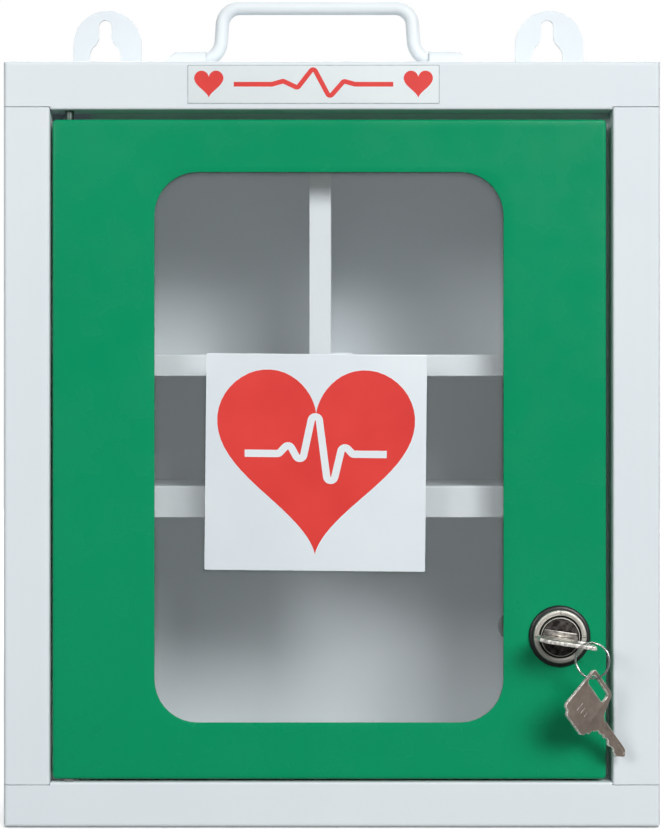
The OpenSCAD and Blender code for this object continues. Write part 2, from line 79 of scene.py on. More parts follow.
def pivot(joint):
    """A joint's pivot at rest, in millimetres."""
    return np.array(joints[joint]["pos_m"]) / MM


FRONT = corners("left_side_panel")[0][1]
LOCK = pivot("plug_turn")
PLUG_TURN = -joints["plug_turn"]["range_deg"][0]
print(f"front plane y = {FRONT:.1f}, lock at {LOCK.round(2)}, turned {PLUG_TURN}")

# %% [markdown]
# ## Surfaces as arrays
#
# A surface is a function of two parameters. Sampling it on a grid gives rows of
# points, and one formula for the faces skins any such grid: a door, a wire, a
# turned ring. That replaces a dozen modelling tools with one idea, and numpy
# works on all the points at once.

# %% Skins over grids of points


def skin(rows, close_rows=False, close_columns=True, caps=False):
    """Quads over a grid of points, shape (rows, columns, 3).

    Face (i, j) joins the points (i, j), (i, j+1), (i+1, j+1) and (i+1, j).
    Closing repeats the first column or row as the last. Caps fill both ends.
    """
    rows = np.asarray(rows, float)
    count, width = rows.shape[:2]
    grid = np.arange(count * width).reshape(count, width)
    ends = [grid[0, ::-1].tolist(), grid[-1].tolist()] if caps else []
    if close_rows:
        grid = np.vstack([grid, grid[:1]])
    if close_columns:
        grid = np.hstack([grid, grid[:, :1]])
    quads = np.stack([grid[:-1, :-1], grid[:-1, 1:], grid[1:, 1:], grid[1:, :-1]], -1)
    return rows.reshape(-1, 3), quads.reshape(-1, 4).tolist() + ends


def join(parts):
    """Several (points, faces) parts as one: each part's indices move up by the
    number of points before it."""
    starts = np.cumsum([0] + [len(points) for points, _ in parts])
    faces = [[i + int(start) for i in face]
             for start, (_, part_faces) in zip(starts, parts) for face in part_faces]
    return np.vstack([points for points, _ in parts]), faces


def moved(part, matrix=np.eye(3), offset=(0, 0, 0)):
    """A part turned by a 3 by 3 matrix about the origin, then shifted."""
    points, faces = part
    return points @ np.asarray(matrix, float).T + np.asarray(offset, float), faces


def turn(axis, degrees):
    """Rotation matrix about the axis "x", "y" or "z", by the right-hand rule."""
    c, s = np.cos(np.radians(degrees)), np.sin(np.radians(degrees))
    a, b = {"x": (1, 2), "y": (2, 0), "z": (0, 1)}[axis]
    matrix = np.eye(3)
    matrix[[a, a, b, b], [a, b, a, b]] = c, -s, s, c
    return matrix


def revolve(profile, steps=96, closed=True):
    """Turned solid about Z from a profile of [radius, height] points.

    Point (i, angle) is (radius_i cos angle, radius_i sin angle, height_i).
    """
    profile = np.asarray(profile, float)
    angle = np.linspace(0, 2 * np.pi, steps, endpoint=False)
    radius, height = profile[:, :1], profile[:, 1:]
    rows = np.stack([radius * np.cos(angle), radius * np.sin(angle),
                     height + 0 * angle], -1)
    return skin(rows, close_rows=closed)


# turns a part made about Z so that its Z points to the back of the cabinet
Z_TO_BACK = turn("x", -90)

# %% [markdown]
# ## Outlines and flat plates
#
# Cards, keys, brackets and nuts are plates: an outline with a thickness. A real
# plate never has a knife edge, so each outline is drawn in a little at the two
# faces. That small bevel catches the light and sells the size of the thing.

# %% Outlines in the plane


def arc(centre, radius, start, end, steps=9):
    """Points on a circle from one angle to another, in degrees."""
    angle = np.radians(np.linspace(start, end, steps))
    return np.stack([centre[0] + radius * np.cos(angle),
                     centre[1] + radius * np.sin(angle)], -1)


def rounded_loop(width, height, radius, centre=(0, 0), corner=9, side=0):
    """Anticlockwise rectangle with round corners. Each corner is an arc, and
    each side is a straight blend from one arc's end to the next one's start."""
    cx, cy = centre
    x, y = width / 2 - radius, height / 2 - radius
    places = [(x, y), (-x, y), (-x, -y), (x, -y)]
    arcs = [arc((cx + px, cy + py), radius, 90 * k, 90 * k + 90, corner)
            for k, (px, py) in enumerate(places)]
    share = np.linspace(0, 1, side + 2)[1:-1, None]
    sides = [a[-1] * (1 - share) + b[0] * share for a, b in zip(arcs, arcs[1:] + arcs[:1])]
    return np.vstack([piece for pair in zip(arcs, sides) for piece in pair])


def inset(loop, distance):
    """A loop drawn in by a distance, into the material on its left.

    Each point moves by distance times (n0 + n1) / (1 + n0.n1), where n0 and n1
    are the unit normals of its two edges, so both edges move by the distance.
    """
    edge = np.roll(loop, -1, 0) - loop
    normal = np.stack([-edge[:, 1], edge[:, 0]], -1)
    normal /= np.linalg.norm(normal, axis=1, keepdims=True)
    before = np.roll(normal, 1, 0)
    return loop + distance * (before + normal) / (1 + (before * normal).sum(1))[:, None]


def plate(outline, thickness, bevel=0.15, holes=(), steps=3):
    """Flat plate from z = 0 to its thickness, with round edges.

    The wall's rows follow a quarter circle at each face: at angle a the loop is
    drawn in by bevel (1 - sin a) and stands bevel (1 - cos a) from the face.
    Holes are loops too, run the other way round, so that their left is metal.
    """
    loops = [np.asarray(outline, float)] + [np.asarray(hole, float)[::-1] for hole in holes]
    angle = np.linspace(0, np.pi / 2, steps)
    drawn = bevel * (1 - np.sin(angle))
    height = bevel * (1 - np.cos(angle))
    levels = np.concatenate([height, thickness - height[::-1]])
    insets = np.concatenate([drawn, drawn[::-1]])
    parts = []
    for loop in loops:
        rows = [np.column_stack([inset(loop, d), np.full(len(loop), z)])
                for d, z in zip(insets, levels)]
        parts.append(skin(rows))
    faces_at = [[Vector((x, y, 0)) for x, y in inset(loop, bevel)] for loop in loops]
    flat = np.vstack([inset(loop, bevel) for loop in loops])
    triangles = [list(t) for t in tessellate_polygon(faces_at)]
    for z in (0, thickness):
        parts.append((np.column_stack([flat, np.full(len(flat), z)]), triangles))
    return join(parts)


def smooth_path(points, radius, steps=9):
    """An open path of straight stretches whose corners become arcs.

    At a corner that turns by 2h the arc begins radius tan h before it. The arc's
    points are blended from the two tangent ends and the corner by a circle's
    rational weights, the middle one being cos h.
    """
    points = np.asarray(points, float)
    radii = np.broadcast_to(radius, len(points) - 2)
    out = [points[:1]]
    t = np.linspace(0, 1, steps)[:, None]
    for before, corner, after, r in zip(points[:-2], points[1:-1], points[2:], radii):
        u = (before - corner) / np.linalg.norm(before - corner)
        v = (after - corner) / np.linalg.norm(after - corner)
        half = (np.pi - np.arccos(np.clip(u @ v, -1, 1))) / 2
        start, end = corner + u * r * np.tan(half), corner + v * r * np.tan(half)
        weight = np.array([(1 - t) ** 2, 2 * t * (1 - t) * np.cos(half), t ** 2])
        blend = weight[0] * start + weight[1] * corner + weight[2] * end
        out.append(blend / weight.sum(0))
    return np.vstack(out + [points[-1:]])


def band(path, thickness):
    """Outline of a bent strip in section: its middle line moved half a thickness
    to the left, then back along the right."""
    step = np.gradient(path, axis=0)
    normal = np.stack([-step[:, 1], step[:, 0]], -1)
    normal /= np.linalg.norm(normal, axis=1, keepdims=True)
    half = normal * thickness / 2
    return np.vstack([path - half, (path + half)[::-1]])


def sweep(path, section, up):
    """A section carried along a path in space.

    At each path point the tangent is t, the side is t cross up, and a section
    point [a, b] goes to path + a side + b (side cross t).
    """
    path = np.asarray(path, float)
    tangent = np.gradient(path, axis=0)
    tangent /= np.linalg.norm(tangent, axis=1, keepdims=True)
    side = np.cross(tangent, np.broadcast_to(up, path.shape))
    side /= np.linalg.norm(side, axis=1, keepdims=True)
    over = np.cross(side, tangent)
    section = np.asarray(section, float)
    rows = (path[:, None] + section[None, :, :1] * side[:, None]
            + section[None, :, 1:] * over[:, None])
    return skin(rows, caps=True)


print("rounded loop:", len(rounded_loop(40, 20, 4)), "points")

# %% [markdown]
# ## From arrays to a piece
#
# One function makes every mesh object. It merges doubled points, turns all the
# faces outwards, smooths the surface but keeps edges sharp past an angle, puts
# the piece on the body that it rides on, and hides the CAD nodes it stands for.

# %% Make a piece


def new_mesh(name, part, sharp=32):
    """Mesh in metres with outward faces, smooth up to the sharp angle."""
    points, faces = part
    mesh = bpy.data.meshes.new(name)
    mesh.from_pydata((points * MM).tolist(), [], faces)
    shell = bmesh.new()
    shell.from_mesh(mesh)
    bmesh.ops.remove_doubles(shell, verts=shell.verts, dist=1e-7)
    bmesh.ops.dissolve_degenerate(shell, edges=shell.edges, dist=1e-8)
    bmesh.ops.recalc_face_normals(shell, faces=shell.faces)
    shell.to_mesh(mesh)
    shell.free()
    mesh.shade_smooth()
    mesh.set_sharp_from_angle(angle=np.radians(sharp))
    return mesh


def add_object(name, mesh):
    """Object at the origin that shows a mesh."""
    piece = bpy.data.objects.new(name, mesh)
    bpy.context.scene.collection.objects.link(piece)
    return piece


def carve(mesh, cutters, sharp=32):
    """The mesh with closed cutter parts taken out of it, by an exact Boolean."""
    target = add_object("carve_target", mesh)
    tools = add_object("carve_tools", new_mesh("carve_tools", join(cutters)))
    cut = target.modifiers.new("carve", "BOOLEAN")
    cut.operation, cut.solver, cut.object = "DIFFERENCE", "EXACT", tools
    graph = bpy.context.evaluated_depsgraph_get()
    carved = bpy.data.meshes.new_from_object(target.evaluated_get(graph))
    carved.name = mesh.name
    for helper in (target, tools):
        bpy.data.objects.remove(helper)
    carved.shade_smooth()
    carved.set_sharp_from_angle(angle=np.radians(sharp))
    return carved


def make_piece(name, source, body, material, nodes=(), sharp=32):
    """Makes a finished piece from a part, several parts or a mesh."""
    if isinstance(source, list):
        source = join(source)
    mesh = new_mesh(name, source, sharp) if isinstance(source, tuple) else source
    mesh.materials.clear()
    mesh.materials.append(material)
    piece = add_object(name, mesh)
    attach(piece, body)
    if nodes:
        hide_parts(*nodes)
    print(f"{name}: {len(mesh.vertices)} points, {len(mesh.polygons)} faces")
    return piece


def second_finish(piece, chosen, material):
    """Gives the chosen faces, a True or False for each, another material."""
    piece.data.materials.append(material)
    piece.data.polygons.foreach_set("material_index", np.asarray(chosen, int))
    piece.data.update()


def face_table(mesh):
    """Each face's middle in millimetres, and its normal, as two arrays."""
    table = np.empty((2, len(mesh.polygons) * 3))
    mesh.polygons.foreach_get("center", table[0])
    mesh.polygons.foreach_get("normal", table[1])
    middles, normals = table.reshape(2, -1, 3)
    return middles / MM, normals


# %% [markdown]
# ## Finishes
#
# Every finish starts from one Principled shader. What differs over a surface,
# such as the dimples of powder coat or the grain of turned metal, comes from
# noise on Object coordinates; what is the same everywhere sits on the shader's
# own sockets.

# %% Shader helpers


def finish(name, colour, roughness, metallic=0.0, **sockets):
    """A new material whose Principled shader has these values on its sockets."""
    material = bpy.data.materials.new(name)
    material.use_nodes = True
    shader = material.node_tree.nodes["Principled BSDF"]
    shader.inputs["Base Color"].default_value = (*colour, 1)
    shader.inputs["Roughness"].default_value = roughness
    shader.inputs["Metallic"].default_value = metallic
    for socket, value in sockets.items():
        shader.inputs[socket.replace("_", " ")].default_value = value
    return material


def node(material, kind, **values):
    """Adds a node to a material or the world. Values name its properties or its
    input sockets."""
    made = material.node_tree.nodes.new(kind)
    for key, value in values.items():
        if hasattr(made, key):
            setattr(made, key, value)
        else:
            made.inputs[key.replace("_", " ")].default_value = value
    return made


def link(material, out, into):
    """Joins an output socket to an input socket."""
    material.node_tree.links.new(out, into)


def shader_of(material):
    """The Principled shader of a material."""
    return material.node_tree.nodes["Principled BSDF"]


def noise(material, scale, detail=2.0, stretch=(1, 1, 1), roughness=0.5):
    """Noise on Object coordinates. Scale counts features per metre, and stretch
    multiplies the coordinates, so a small factor makes long streaks."""
    place = node(material, "ShaderNodeTexCoord")
    mapping = node(material, "ShaderNodeMapping")
    mapping.inputs["Scale"].default_value = stretch
    texture = node(material, "ShaderNodeTexNoise", Scale=scale, Detail=detail,
                   Roughness=roughness)
    link(material, place.outputs["Object"], mapping.inputs["Vector"])
    link(material, mapping.outputs["Vector"], texture.inputs["Vector"])
    return texture.outputs["Fac"]


def vary(material, factor, socket, low, high, spread=(0.3, 0.7)):
    """Drives a shader socket from a factor: a colour ramp between two colours,
    or a straight range between two numbers."""
    if isinstance(low, tuple):
        ramp = node(material, "ShaderNodeValToRGB")
        for element, place, colour in zip(ramp.color_ramp.elements, spread, (low, high)):
            element.position = place
            element.color = (*colour, 1)
        link(material, factor, ramp.inputs["Fac"])
        out = ramp.outputs["Color"]
    else:
        ramp = node(material, "ShaderNodeMapRange")
        ramp.inputs["From Min"].default_value, ramp.inputs["From Max"].default_value = spread
        ramp.inputs["To Min"].default_value = low
        ramp.inputs["To Max"].default_value = high
        link(material, factor, ramp.inputs["Value"])
        out = ramp.outputs["Result"]
    link(material, out, shader_of(material).inputs[socket])


def relief(material, factor, height, strength=1.0):
    """Adds a bump of a height in millimetres, on top of any bump before it."""
    shader = shader_of(material)
    bump = node(material, "ShaderNodeBump", Strength=strength, Distance=height * MM)
    link(material, factor, bump.inputs["Height"])
    if shader.inputs["Normal"].links:
        link(material, shader.inputs["Normal"].links[0].from_socket, bump.inputs["Normal"])
    link(material, bump.outputs["Normal"], shader.inputs["Normal"])


def uneven(material, patches=None, sheen=None, bump=None):
    """Noise over a finish, each kind as (scale, detail, values...).

    Patches end with two colours, sheen with two roughnesses, and either may add
    the spread of its ramp. A bump ends with its height in millimetres.
    """
    for socket, row in (("Base Color", patches), ("Roughness", sheen)):
        if row:
            vary(material, noise(material, *row[:2]), socket, *row[2:])
    if bump:
        relief(material, noise(material, *bump[:2]), bump[2])
    return material


def soften_edges(material, radius):
    """Rounds the shading of edges within a radius, for plain CAD solids."""
    bevel = node(material, "ShaderNodeBevel", samples=6, Radius=radius * MM)
    link(material, bevel.outputs["Normal"], shader_of(material).inputs["Normal"])


# %% [markdown]
# ## Powder coat
#
# The steel is sprayed with powder, which is then baked. Close up the coat has a
# fine orange peel, a soft gloss and a colour that drifts a little. Its bump is
# kept to a few hundredths of a millimetre: more would look like plaster.

# %% Paint on the steel


def powder_coat(name, colour, drift, roughness, edge_radius=0.0, gloss=0.28):
    """Semi-gloss baked coat. Drift is the second colour that patches lean to."""
    paint = finish(name, colour, roughness, Specular_IOR_Level=gloss)
    if edge_radius:
        soften_edges(paint, edge_radius)
    vary(paint, noise(paint, 9, 3), "Base Color", colour, drift)
    vary(paint, noise(paint, 60, 4), "Roughness", roughness - 0.05, roughness + 0.07)
    relief(paint, noise(paint, 900, 1), 0.003)
    relief(paint, noise(paint, 30, 1), 0.04)
    return paint


# The sheets' white is a little darker than the handle's, though both are one coat: the darker
# copy is painted shade, which keeps the light bouncing inside the cabinet low.
SHADED_SHEET_WHITE = (0.692, 0.745, 0.780)
SHADED_SHEET_WHITE_DRIFT = (0.716, 0.768, 0.798)
HANDLE_WHITE = (0.735, 0.785, 0.815)
HANDLE_WHITE_DRIFT = (0.76, 0.808, 0.83)
GREEN = (0.0015, 0.266, 0.111)
GREEN_DRIFT = (0.003, 0.280, 0.120)
sheet_paint = powder_coat("white_coat_on_sheet_with_painted_shade", SHADED_SHEET_WHITE, SHADED_SHEET_WHITE_DRIFT, 0.42, 0.35)
white_paint = powder_coat("white_coat", HANDLE_WHITE, HANDLE_WHITE_DRIFT, 0.40)
weld_paint = powder_coat("white_coat_on_welds_with_painted_shade", SHADED_SHEET_WHITE, SHADED_SHEET_WHITE_DRIFT, 0.42)
green_paint = powder_coat("green_coat", GREEN, GREEN_DRIFT, 0.25, gloss=0.2)

PAINTED_SHEETS = ["back_panel", "left_side_panel", "right_side_panel", "top_panel",
                  "bottom_panel", "upper_shelf", "lower_shelf", "shelf_divider"]
for name in PAINTED_SHEETS:
    mesh = frame["nodes"][name].data
    mesh.materials.clear()
    mesh.materials.append(sheet_paint)
print("painted:", ", ".join(PAINTED_SHEETS))

# %% [markdown]
# ## Metals, plastics and print
#
# The small parts set the scale of the whole: zinc with a cloudy passivation, a
# turned nickel flange, a dark cast plug, worn key brass under nickel, black
# moulded plastic, clear acrylic and matt printed film.

# %% Finishes of the small parts
zinc = uneven(finish("zinc_plate", (0.56, 0.57, 0.58), 0.35, 1.0),
              (180, 3, (0.50, 0.52, 0.55), (0.62, 0.61, 0.58)), (900, 2, 0.26, 0.42),
              (2500, 1, 0.004))
nickel = uneven(finish("satin_nickel", (0.50, 0.48, 0.44), 0.48, 0.8),
                (120, 2, (0.44, 0.43, 0.39), (0.58, 0.56, 0.51)), (260, 3, 0.42, 0.55))
plug_metal = uneven(finish("cast_plug", (0.05, 0.045, 0.044), 0.42, 0.9),
                    (420, 4, (0.020, 0.016, 0.016), (0.13, 0.118, 0.11), (0.40, 0.72)),
                    bump=(1500, 3, 0.018))
worn_metal = uneven(finish("worn_plug_face", (0.34, 0.32, 0.30), 0.35, 1.0),
                    (260, 4, (0.07, 0.062, 0.056), (0.55, 0.52, 0.48), (0.36, 0.66)),
                    bump=(500, 3, 0.06))
# Near-black for the faces of the groove round the plug and the walls of the flange's notches:
# painted shade in these recesses.
groove_painted_shade = uneven(finish("painted_shade_in_groove", (0.016, 0.015, 0.014), 0.55, 0.3),
                     bump=(1500, 2, 0.01))
# The cam and the hinge pins are zinc-plated steel, coloured dark and slightly green: painted
# shade behind the door and in the hinge gap, with the green a painted reflection of the door.
zinc_painted_shade = uneven(finish("zinc_painted_shade", (0.10, 0.13, 0.12), 0.38, 0.9),
                    (300, 3, (0.070, 0.095, 0.088), (0.125, 0.155, 0.145)),
                    bump=(1200, 2, 0.006))
spring_wire = uneven(finish("spring_wire", (0.66, 0.67, 0.66), 0.16, 1.0),
                     sheen=(800, 2, 0.12, 0.25))

# the grain of the key's flats runs along the blade, so its noise is stretched
key_metal = uneven(finish("nickel_on_brass", (0.29, 0.235, 0.195), 0.42, 0.55),
                   (300, 4, (0.26, 0.21, 0.175), (0.335, 0.275, 0.235)))
vary(key_metal, noise(key_metal, 700, 3, (1, 1, 0.15)), "Roughness", 0.36, 0.52)
relief(key_metal, noise(key_metal, 1400, 2, (1, 1, 0.2)), 0.008)
# Nearly white on the key's edges and the walls of its cuts: partly bare sheared metal, partly a
# painted glint.
key_edge_and_painted_glint = uneven(finish("sheared_edge_and_painted_glint", (0.85, 0.83, 0.79), 0.3, 0.3),
                  (620, 3, (0.30, 0.28, 0.25), (0.86, 0.84, 0.79), (0.34, 0.54)),
                  (500, 3, 0.2, 0.42), (900, 2, 0.03))
rubbed_flat = uneven(finish("rubbed_key_flat", (0.40, 0.37, 0.33), 0.3, 1.0),
                     (300, 4, (0.05, 0.045, 0.04), (0.80, 0.77, 0.72), (0.40, 0.60)),
                     bump=(600, 3, 0.04))

black_plastic = uneven(finish("black_moulding", (0.012, 0.013, 0.014), 0.38),
                       bump=(1800, 2, 0.006))
# The washer's nylon is dark grey instead of its natural cream: painted shade for the narrow gap
# under the door where it sits.
nylon = uneven(finish("nylon", (0.15, 0.155, 0.15), 0.5), sheen=(400, 2, 0.45, 0.6),
               bump=(1500, 2, 0.01))
acrylic = uneven(finish("clear_acrylic", (0.90, 0.96, 0.97), 0.03, Alpha=0.06, IOR=1.49),
                 sheen=(14, 2, 0.02, 0.05))

card_film = uneven(finish("white_film", (0.72, 0.78, 0.82), 0.32, Coat_Weight=0.3,
                          Coat_Roughness=0.2),
                   (25, 3, (0.70, 0.765, 0.81), (0.74, 0.80, 0.835)), bump=(500, 2, 0.006))
label_film = uneven(finish("label_film", (0.69, 0.75, 0.765), 0.5),
                    (60, 3, (0.675, 0.735, 0.752), (0.705, 0.76, 0.773)),
                    bump=(900, 2, 0.004))
# A grey line along the label's cut edge: painted shade where the thin film steps down to the
# rail.
film_edge_painted_shade = uneven(finish("film_edge_painted_shade", (0.36, 0.42, 0.44), 0.5),
                   (300, 2, (0.30, 0.36, 0.38), (0.46, 0.52, 0.54)))
red_ink = uneven(finish("red_ink", (0.72, 0.045, 0.035), 0.34),
                 (40, 4, (0.69, 0.038, 0.032), (0.76, 0.052, 0.042)),
                 bump=(1200, 2, 0.003))
white_ink = uneven(finish("white_ink", (0.74, 0.79, 0.82), 0.4), sheen=(200, 2, 0.35, 0.45))
print("materials:", len(bpy.data.materials))

# %% [markdown]
# ## The door
#
# The door is a pan of 1 mm sheet: a flat face, folds of 1.5 mm radius, and 12 mm
# flanges. Its window is punched, so the cut edge rolls over slightly. A box with
# a Bevel modifier would do from afar, but a loft of loops gives each of these
# its true radius: the section of the sheet is a list of loops, from the window's
# edge, over the face, round the fold, down the flange and back inside.

# %% Door sheet
SHEET = 1.0
DOOR_FOLD = 1.5
DOOR_CORNER = 2.0
door_low, door_high = corners("door_panel")
door_size = door_high - door_low
door_middle = (door_low + door_high)[[0, 2]] / 2
pane_low, pane_high = corners("window_pane")
PANE_MARGIN = 10.0
window_size = (pane_high - pane_low)[[0, 2]] - 2 * PANE_MARGIN
window_middle = (pane_low + pane_high)[[0, 2]] / 2
WINDOW_CORNER = 20.0
door_face = door_low[1]
door_rear = door_high[1]


def door_loop(drawn_in, y):
    """The door's outline drawn in by a distance, at one place along Y."""
    w, h = door_size[[0, 2]] - 2 * drawn_in
    loop = rounded_loop(w, h, max(DOOR_CORNER - drawn_in, 0.25), door_middle, 10, 22)
    return np.column_stack([loop[:, 0], np.full(len(loop), y), loop[:, 1]])


def window_loop(grown, y):
    """The window's outline grown by a distance, at one place along Y."""
    w, h = window_size + 2 * grown
    loop = rounded_loop(w, h, WINDOW_CORNER + grown, window_middle, 10, 22)
    return np.column_stack([loop[:, 0], np.full(len(loop), y), loop[:, 1]])


def pressed_face(inner, outer, sink, steps=10):
    """Loops between two others: point = inner (1 - t) + outer t.

    Thin sheet is never quite flat, so the face also sinks by up to "sink", as
    sink sin(pi t) times a slow wave in x and z. It is nothing at both ends.
    """
    t = np.linspace(0, 1, steps)[1:-1, None, None]
    loops = inner * (1 - t) + outer * t
    wave = np.sin(loops[..., 0] / 31 + 1) * np.cos(loops[..., 2] / 43)
    loops[..., 1] += sink * np.sin(np.pi * t[..., 0]) * (0.5 + 0.5 * wave)
    return list(loops)


roll = np.radians(np.linspace(0, 90, 4))
fold = np.radians(np.linspace(0, 90, 7))
inner_fold = DOOR_FOLD - SHEET
face_start = window_loop(0.3, door_face)
face_end = door_loop(DOOR_FOLD, door_face)
inside_end = door_loop(DOOR_FOLD, door_face + SHEET)
inside_start = window_loop(0.3, door_face + SHEET)
door_rows = (
    [window_loop(0.3 * (1 - np.cos(a)), door_face + 0.3 * (1 - np.sin(a))) for a in roll]
    + pressed_face(face_start, face_end, 0.10)
    + [door_loop(DOOR_FOLD * (1 - np.sin(a)), door_face + DOOR_FOLD * (1 - np.cos(a)))
       for a in fold]
    + [door_loop(0, door_rear - 0.2), door_loop(0.2, door_rear),
       door_loop(SHEET - 0.2, door_rear), door_loop(SHEET, door_rear - 0.2)]
    + [door_loop(DOOR_FOLD - inner_fold * np.sin(a),
                 door_face + DOOR_FOLD - inner_fold * np.cos(a)) for a in fold[::-1]]
    + pressed_face(inside_end, inside_start, 0.0)
    + [inside_start]
)
door_sheet = new_mesh("door_sheet", skin(door_rows, close_rows=True), 40)

barrel_hole = moved(revolve([[0, -5], [9.6, -5], [9.6, 5], [0, 5]], 64, False),
                    Z_TO_BACK, (LOCK[0], door_face, LOCK[2]))
pin_low, pin_high = corners("upper_hinge_pin")
pin_x, pin_y = ((pin_low + pin_high) / 2)[:2]
pin_holes = [moved(revolve([[0, -3], [2.05, -3], [2.05, 3], [0, 3]], 32, False),
                   offset=(pin_x, pin_y, z)) for z in (door_low[2], door_high[2])]
door_sheet = carve(door_sheet, [barrel_hole] + pin_holes, 40)
make_piece("door_sheet", door_sheet, "door", green_paint, ["door_panel"])

# %% [markdown]
# ## The window and what holds it
#
# The pane is a cut acrylic sheet with polished edges, larger than the opening
# and held from behind by eight folded clips. Each clip is a bent strip: its
# middle line gets round corners, is widened to the thickness of the steel, and
# the section is pulled out to the clip's length.

# %% Pane and clips
pane_size = (pane_high - pane_low)[[0, 2]]
pane_loop = rounded_loop(*pane_size, 8, corner=10)
UPRIGHT = np.array([[1, 0, 0], [0, 0, 1], [0, 1, 0]])  # [x, y, z] to [x, z, y]
pane = moved(plate(pane_loop, pane_high[1] - pane_low[1], 0.2), UPRIGHT,
             (window_middle[0], pane_low[1], window_middle[1]))
make_piece("window_pane_clear", pane, "door", acrylic, ["window_pane"])

CLIP_LENGTH = 16
CLIP_STEEL = 1.0
CLIP_HEIGHTS = (-60, 22, 104)
clip_line = smooth_path([[9.5, 0.5], [1, 0.5], [1, 2.5], [-7, 2.5]], 0.75, 5)
clip = plate(band(clip_line, CLIP_STEEL), CLIP_LENGTH, 0.15, steps=2)
clip = moved(clip, offset=(pane_size[0] / 2, pane_low[1], -CLIP_LENGTH / 2))
flip_x, flip_z = np.diag([-1, 1, 1]), np.diag([1, 1, -1])
side_clips = [moved(moved(clip, offset=(0, 0, z)), side)
              for z in CLIP_HEIGHTS for side in (np.eye(3), flip_x)]
end_clip = moved(clip, turn("y", -90), (0, 0, (pane_size[1] - pane_size[0]) / 2))
clips = side_clips + [end_clip, moved(end_clip, flip_z)]
at_window = (window_middle[0], 0, window_middle[1])
make_piece("pane_clip_set", [moved(c, offset=at_window) for c in clips], "door",
           zinc, ["pane_clips"])

# %% [markdown]
# ## The card on the window
#
# A square card with a red sign stands on the pane. Here the sign is a plain
# heart with a pulse line across it, a generic picture of care. The heart's
# outline is a classic parametric curve, and the line is a bent band, so both
# are sharp at any size, where an image texture would blur.

# %% Heart and pulse line


def heart_loop(width, height, steps=96):
    """Heart outline: x = sin^3 t and y = 13 cos t - 5 cos 2t - 2 cos 3t - cos 4t,
    scaled to a width and a height about the middle of its box."""
    t = np.linspace(0, 2 * np.pi, steps, endpoint=False)[::-1] + np.pi / steps
    x = np.sin(t) ** 3
    y = 13 * np.cos(t) - 5 * np.cos(2 * t) - 2 * np.cos(3 * t) - np.cos(4 * t)
    y = (y - (y.max() + y.min()) / 2) / (y.max() - y.min())
    return np.stack([x / 2 * width, y * height], -1)


def pulse_line(half_length, height, bend):
    """Middle line of a pulse trace: flat, a small rise, a tall peak, a dip, flat.
    The bends are no tighter than half the line's width, so its edge never folds."""
    beats = np.array([[-1, 0], [-0.52, 0], [-0.38, 0.26], [-0.2, -0.3], [0.0, 1.4],
                      [0.2, -1.1], [0.38, 0.26], [0.52, 0], [1, 0]])
    return smooth_path(beats * [half_length, height], bend, 9)


card_low, card_high = corners("emblem_card")
card_middle = (card_low + card_high) / 2
CARD_SIZE = (102.5, 100.7)
CARD_TILT = 0.55
INK = 0.03    # thickness of a layer of print


def on_card(part, layers=0, rise=0.0):
    """Stands a flat part up, tilted like the card, some layers in front."""
    return moved(part, UPRIGHT @ turn("z", -CARD_TILT),
                 (card_middle[0], card_low[1] - layers * INK, card_middle[2] + rise))


card = plate(rounded_loop(*CARD_SIZE, 0.6, corner=4), card_high[1] - card_low[1], 0.05)
make_piece("emblem_card_film", on_card(card), "door", card_film,
           ["emblem_card"])
heart = plate(heart_loop(92, 86), INK, 0.01, steps=2)
make_piece("emblem_heart", on_card(heart, 1), "door", red_ink)
pulse = plate(band(pulse_line(33, 19, 1.9), 3.4), INK, 0.01, steps=2)
make_piece("emblem_pulse", on_card(pulse, 2, 4), "door", white_ink)

# %% [markdown]
# ## The strip on the top rail
#
# The long label is thin vinyl. It gets the same two motifs at another scale: a
# small heart at each end, and a pulse line between them.

# %% Header strip
strip_low, strip_high = corners("header_label")
strip_size = (strip_high - strip_low)[[0, 2]]
strip_middle = (strip_low + strip_high) / 2
HEART_AT = 48.6    # from the strip's middle to the middle of each heart
CUT_EDGE = 0.35    # width of the grey line at the film's cut edge, which is painted shade


def on_strip(part, layers=1, across=0.0):
    """Stands a flat part up, some layers of print in front of the strip."""
    return moved(part, UPRIGHT, (strip_middle[0] + across, strip_low[1] - layers * INK,
                                 strip_middle[2]))


strip_loop = rounded_loop(*strip_size, 0.5, corner=4)
strip = plate(strip_loop, strip_high[1] - strip_low[1], 0.05)
make_piece("header_strip", on_strip(strip, 0), "cabinet", label_film,
           ["header_label"])
small_heart = plate(heart_loop(13.6, 12.6, 48), INK, 0.01, steps=2)
strip_line = plate(band(pulse_line(37, 5.6, 1.3), 2.2), INK, 0.01, steps=2)
make_piece("header_print", [on_strip(small_heart, across=side * HEART_AT)
                            for side in (-1, 1)] + [on_strip(strip_line)],
           "cabinet", red_ink)
edge_hole = rounded_loop(*(strip_size - 2 * CUT_EDGE), 0.3, corner=4)
edge_line = plate(strip_loop, INK, 0.01, [edge_hole], 2)
make_piece("header_cut_edge", on_strip(edge_line), "cabinet", film_edge_painted_shade)

# %% [markdown]
# ## The carry handle
#
# A bail of 6.5 mm wire: one circle carried along one path. The path comes from
# five straight stretches with round corners, and its legs lean out towards the
# feet. Sweeping keeps the wire perfectly round through the bends, which bent
# cylinders would not.

# %% Handle wire
HANDLE = pivot("handle_fold")
handle_low, handle_high = corners("carry_handle")
wire = (handle_high[1] - handle_low[1]) / 2
rise = handle_high[2] - wire - HANDLE[2]
foot = (handle_high[0] - handle_low[0]) / 2
TOP_BEND = 8.5
FOOT_BEND = 10.0
LEG_TOP = 46.0    # from the middle to a leg, where its top bend ends
LEG_LEAN = np.radians(4.0)


def leg_at(height):
    """How far a leg is from the middle at a height above the pivot line."""
    bend_end = rise - TOP_BEND * (1 - np.sin(LEG_LEAN))
    return LEG_TOP + (bend_end - height) * np.tan(LEG_LEAN)


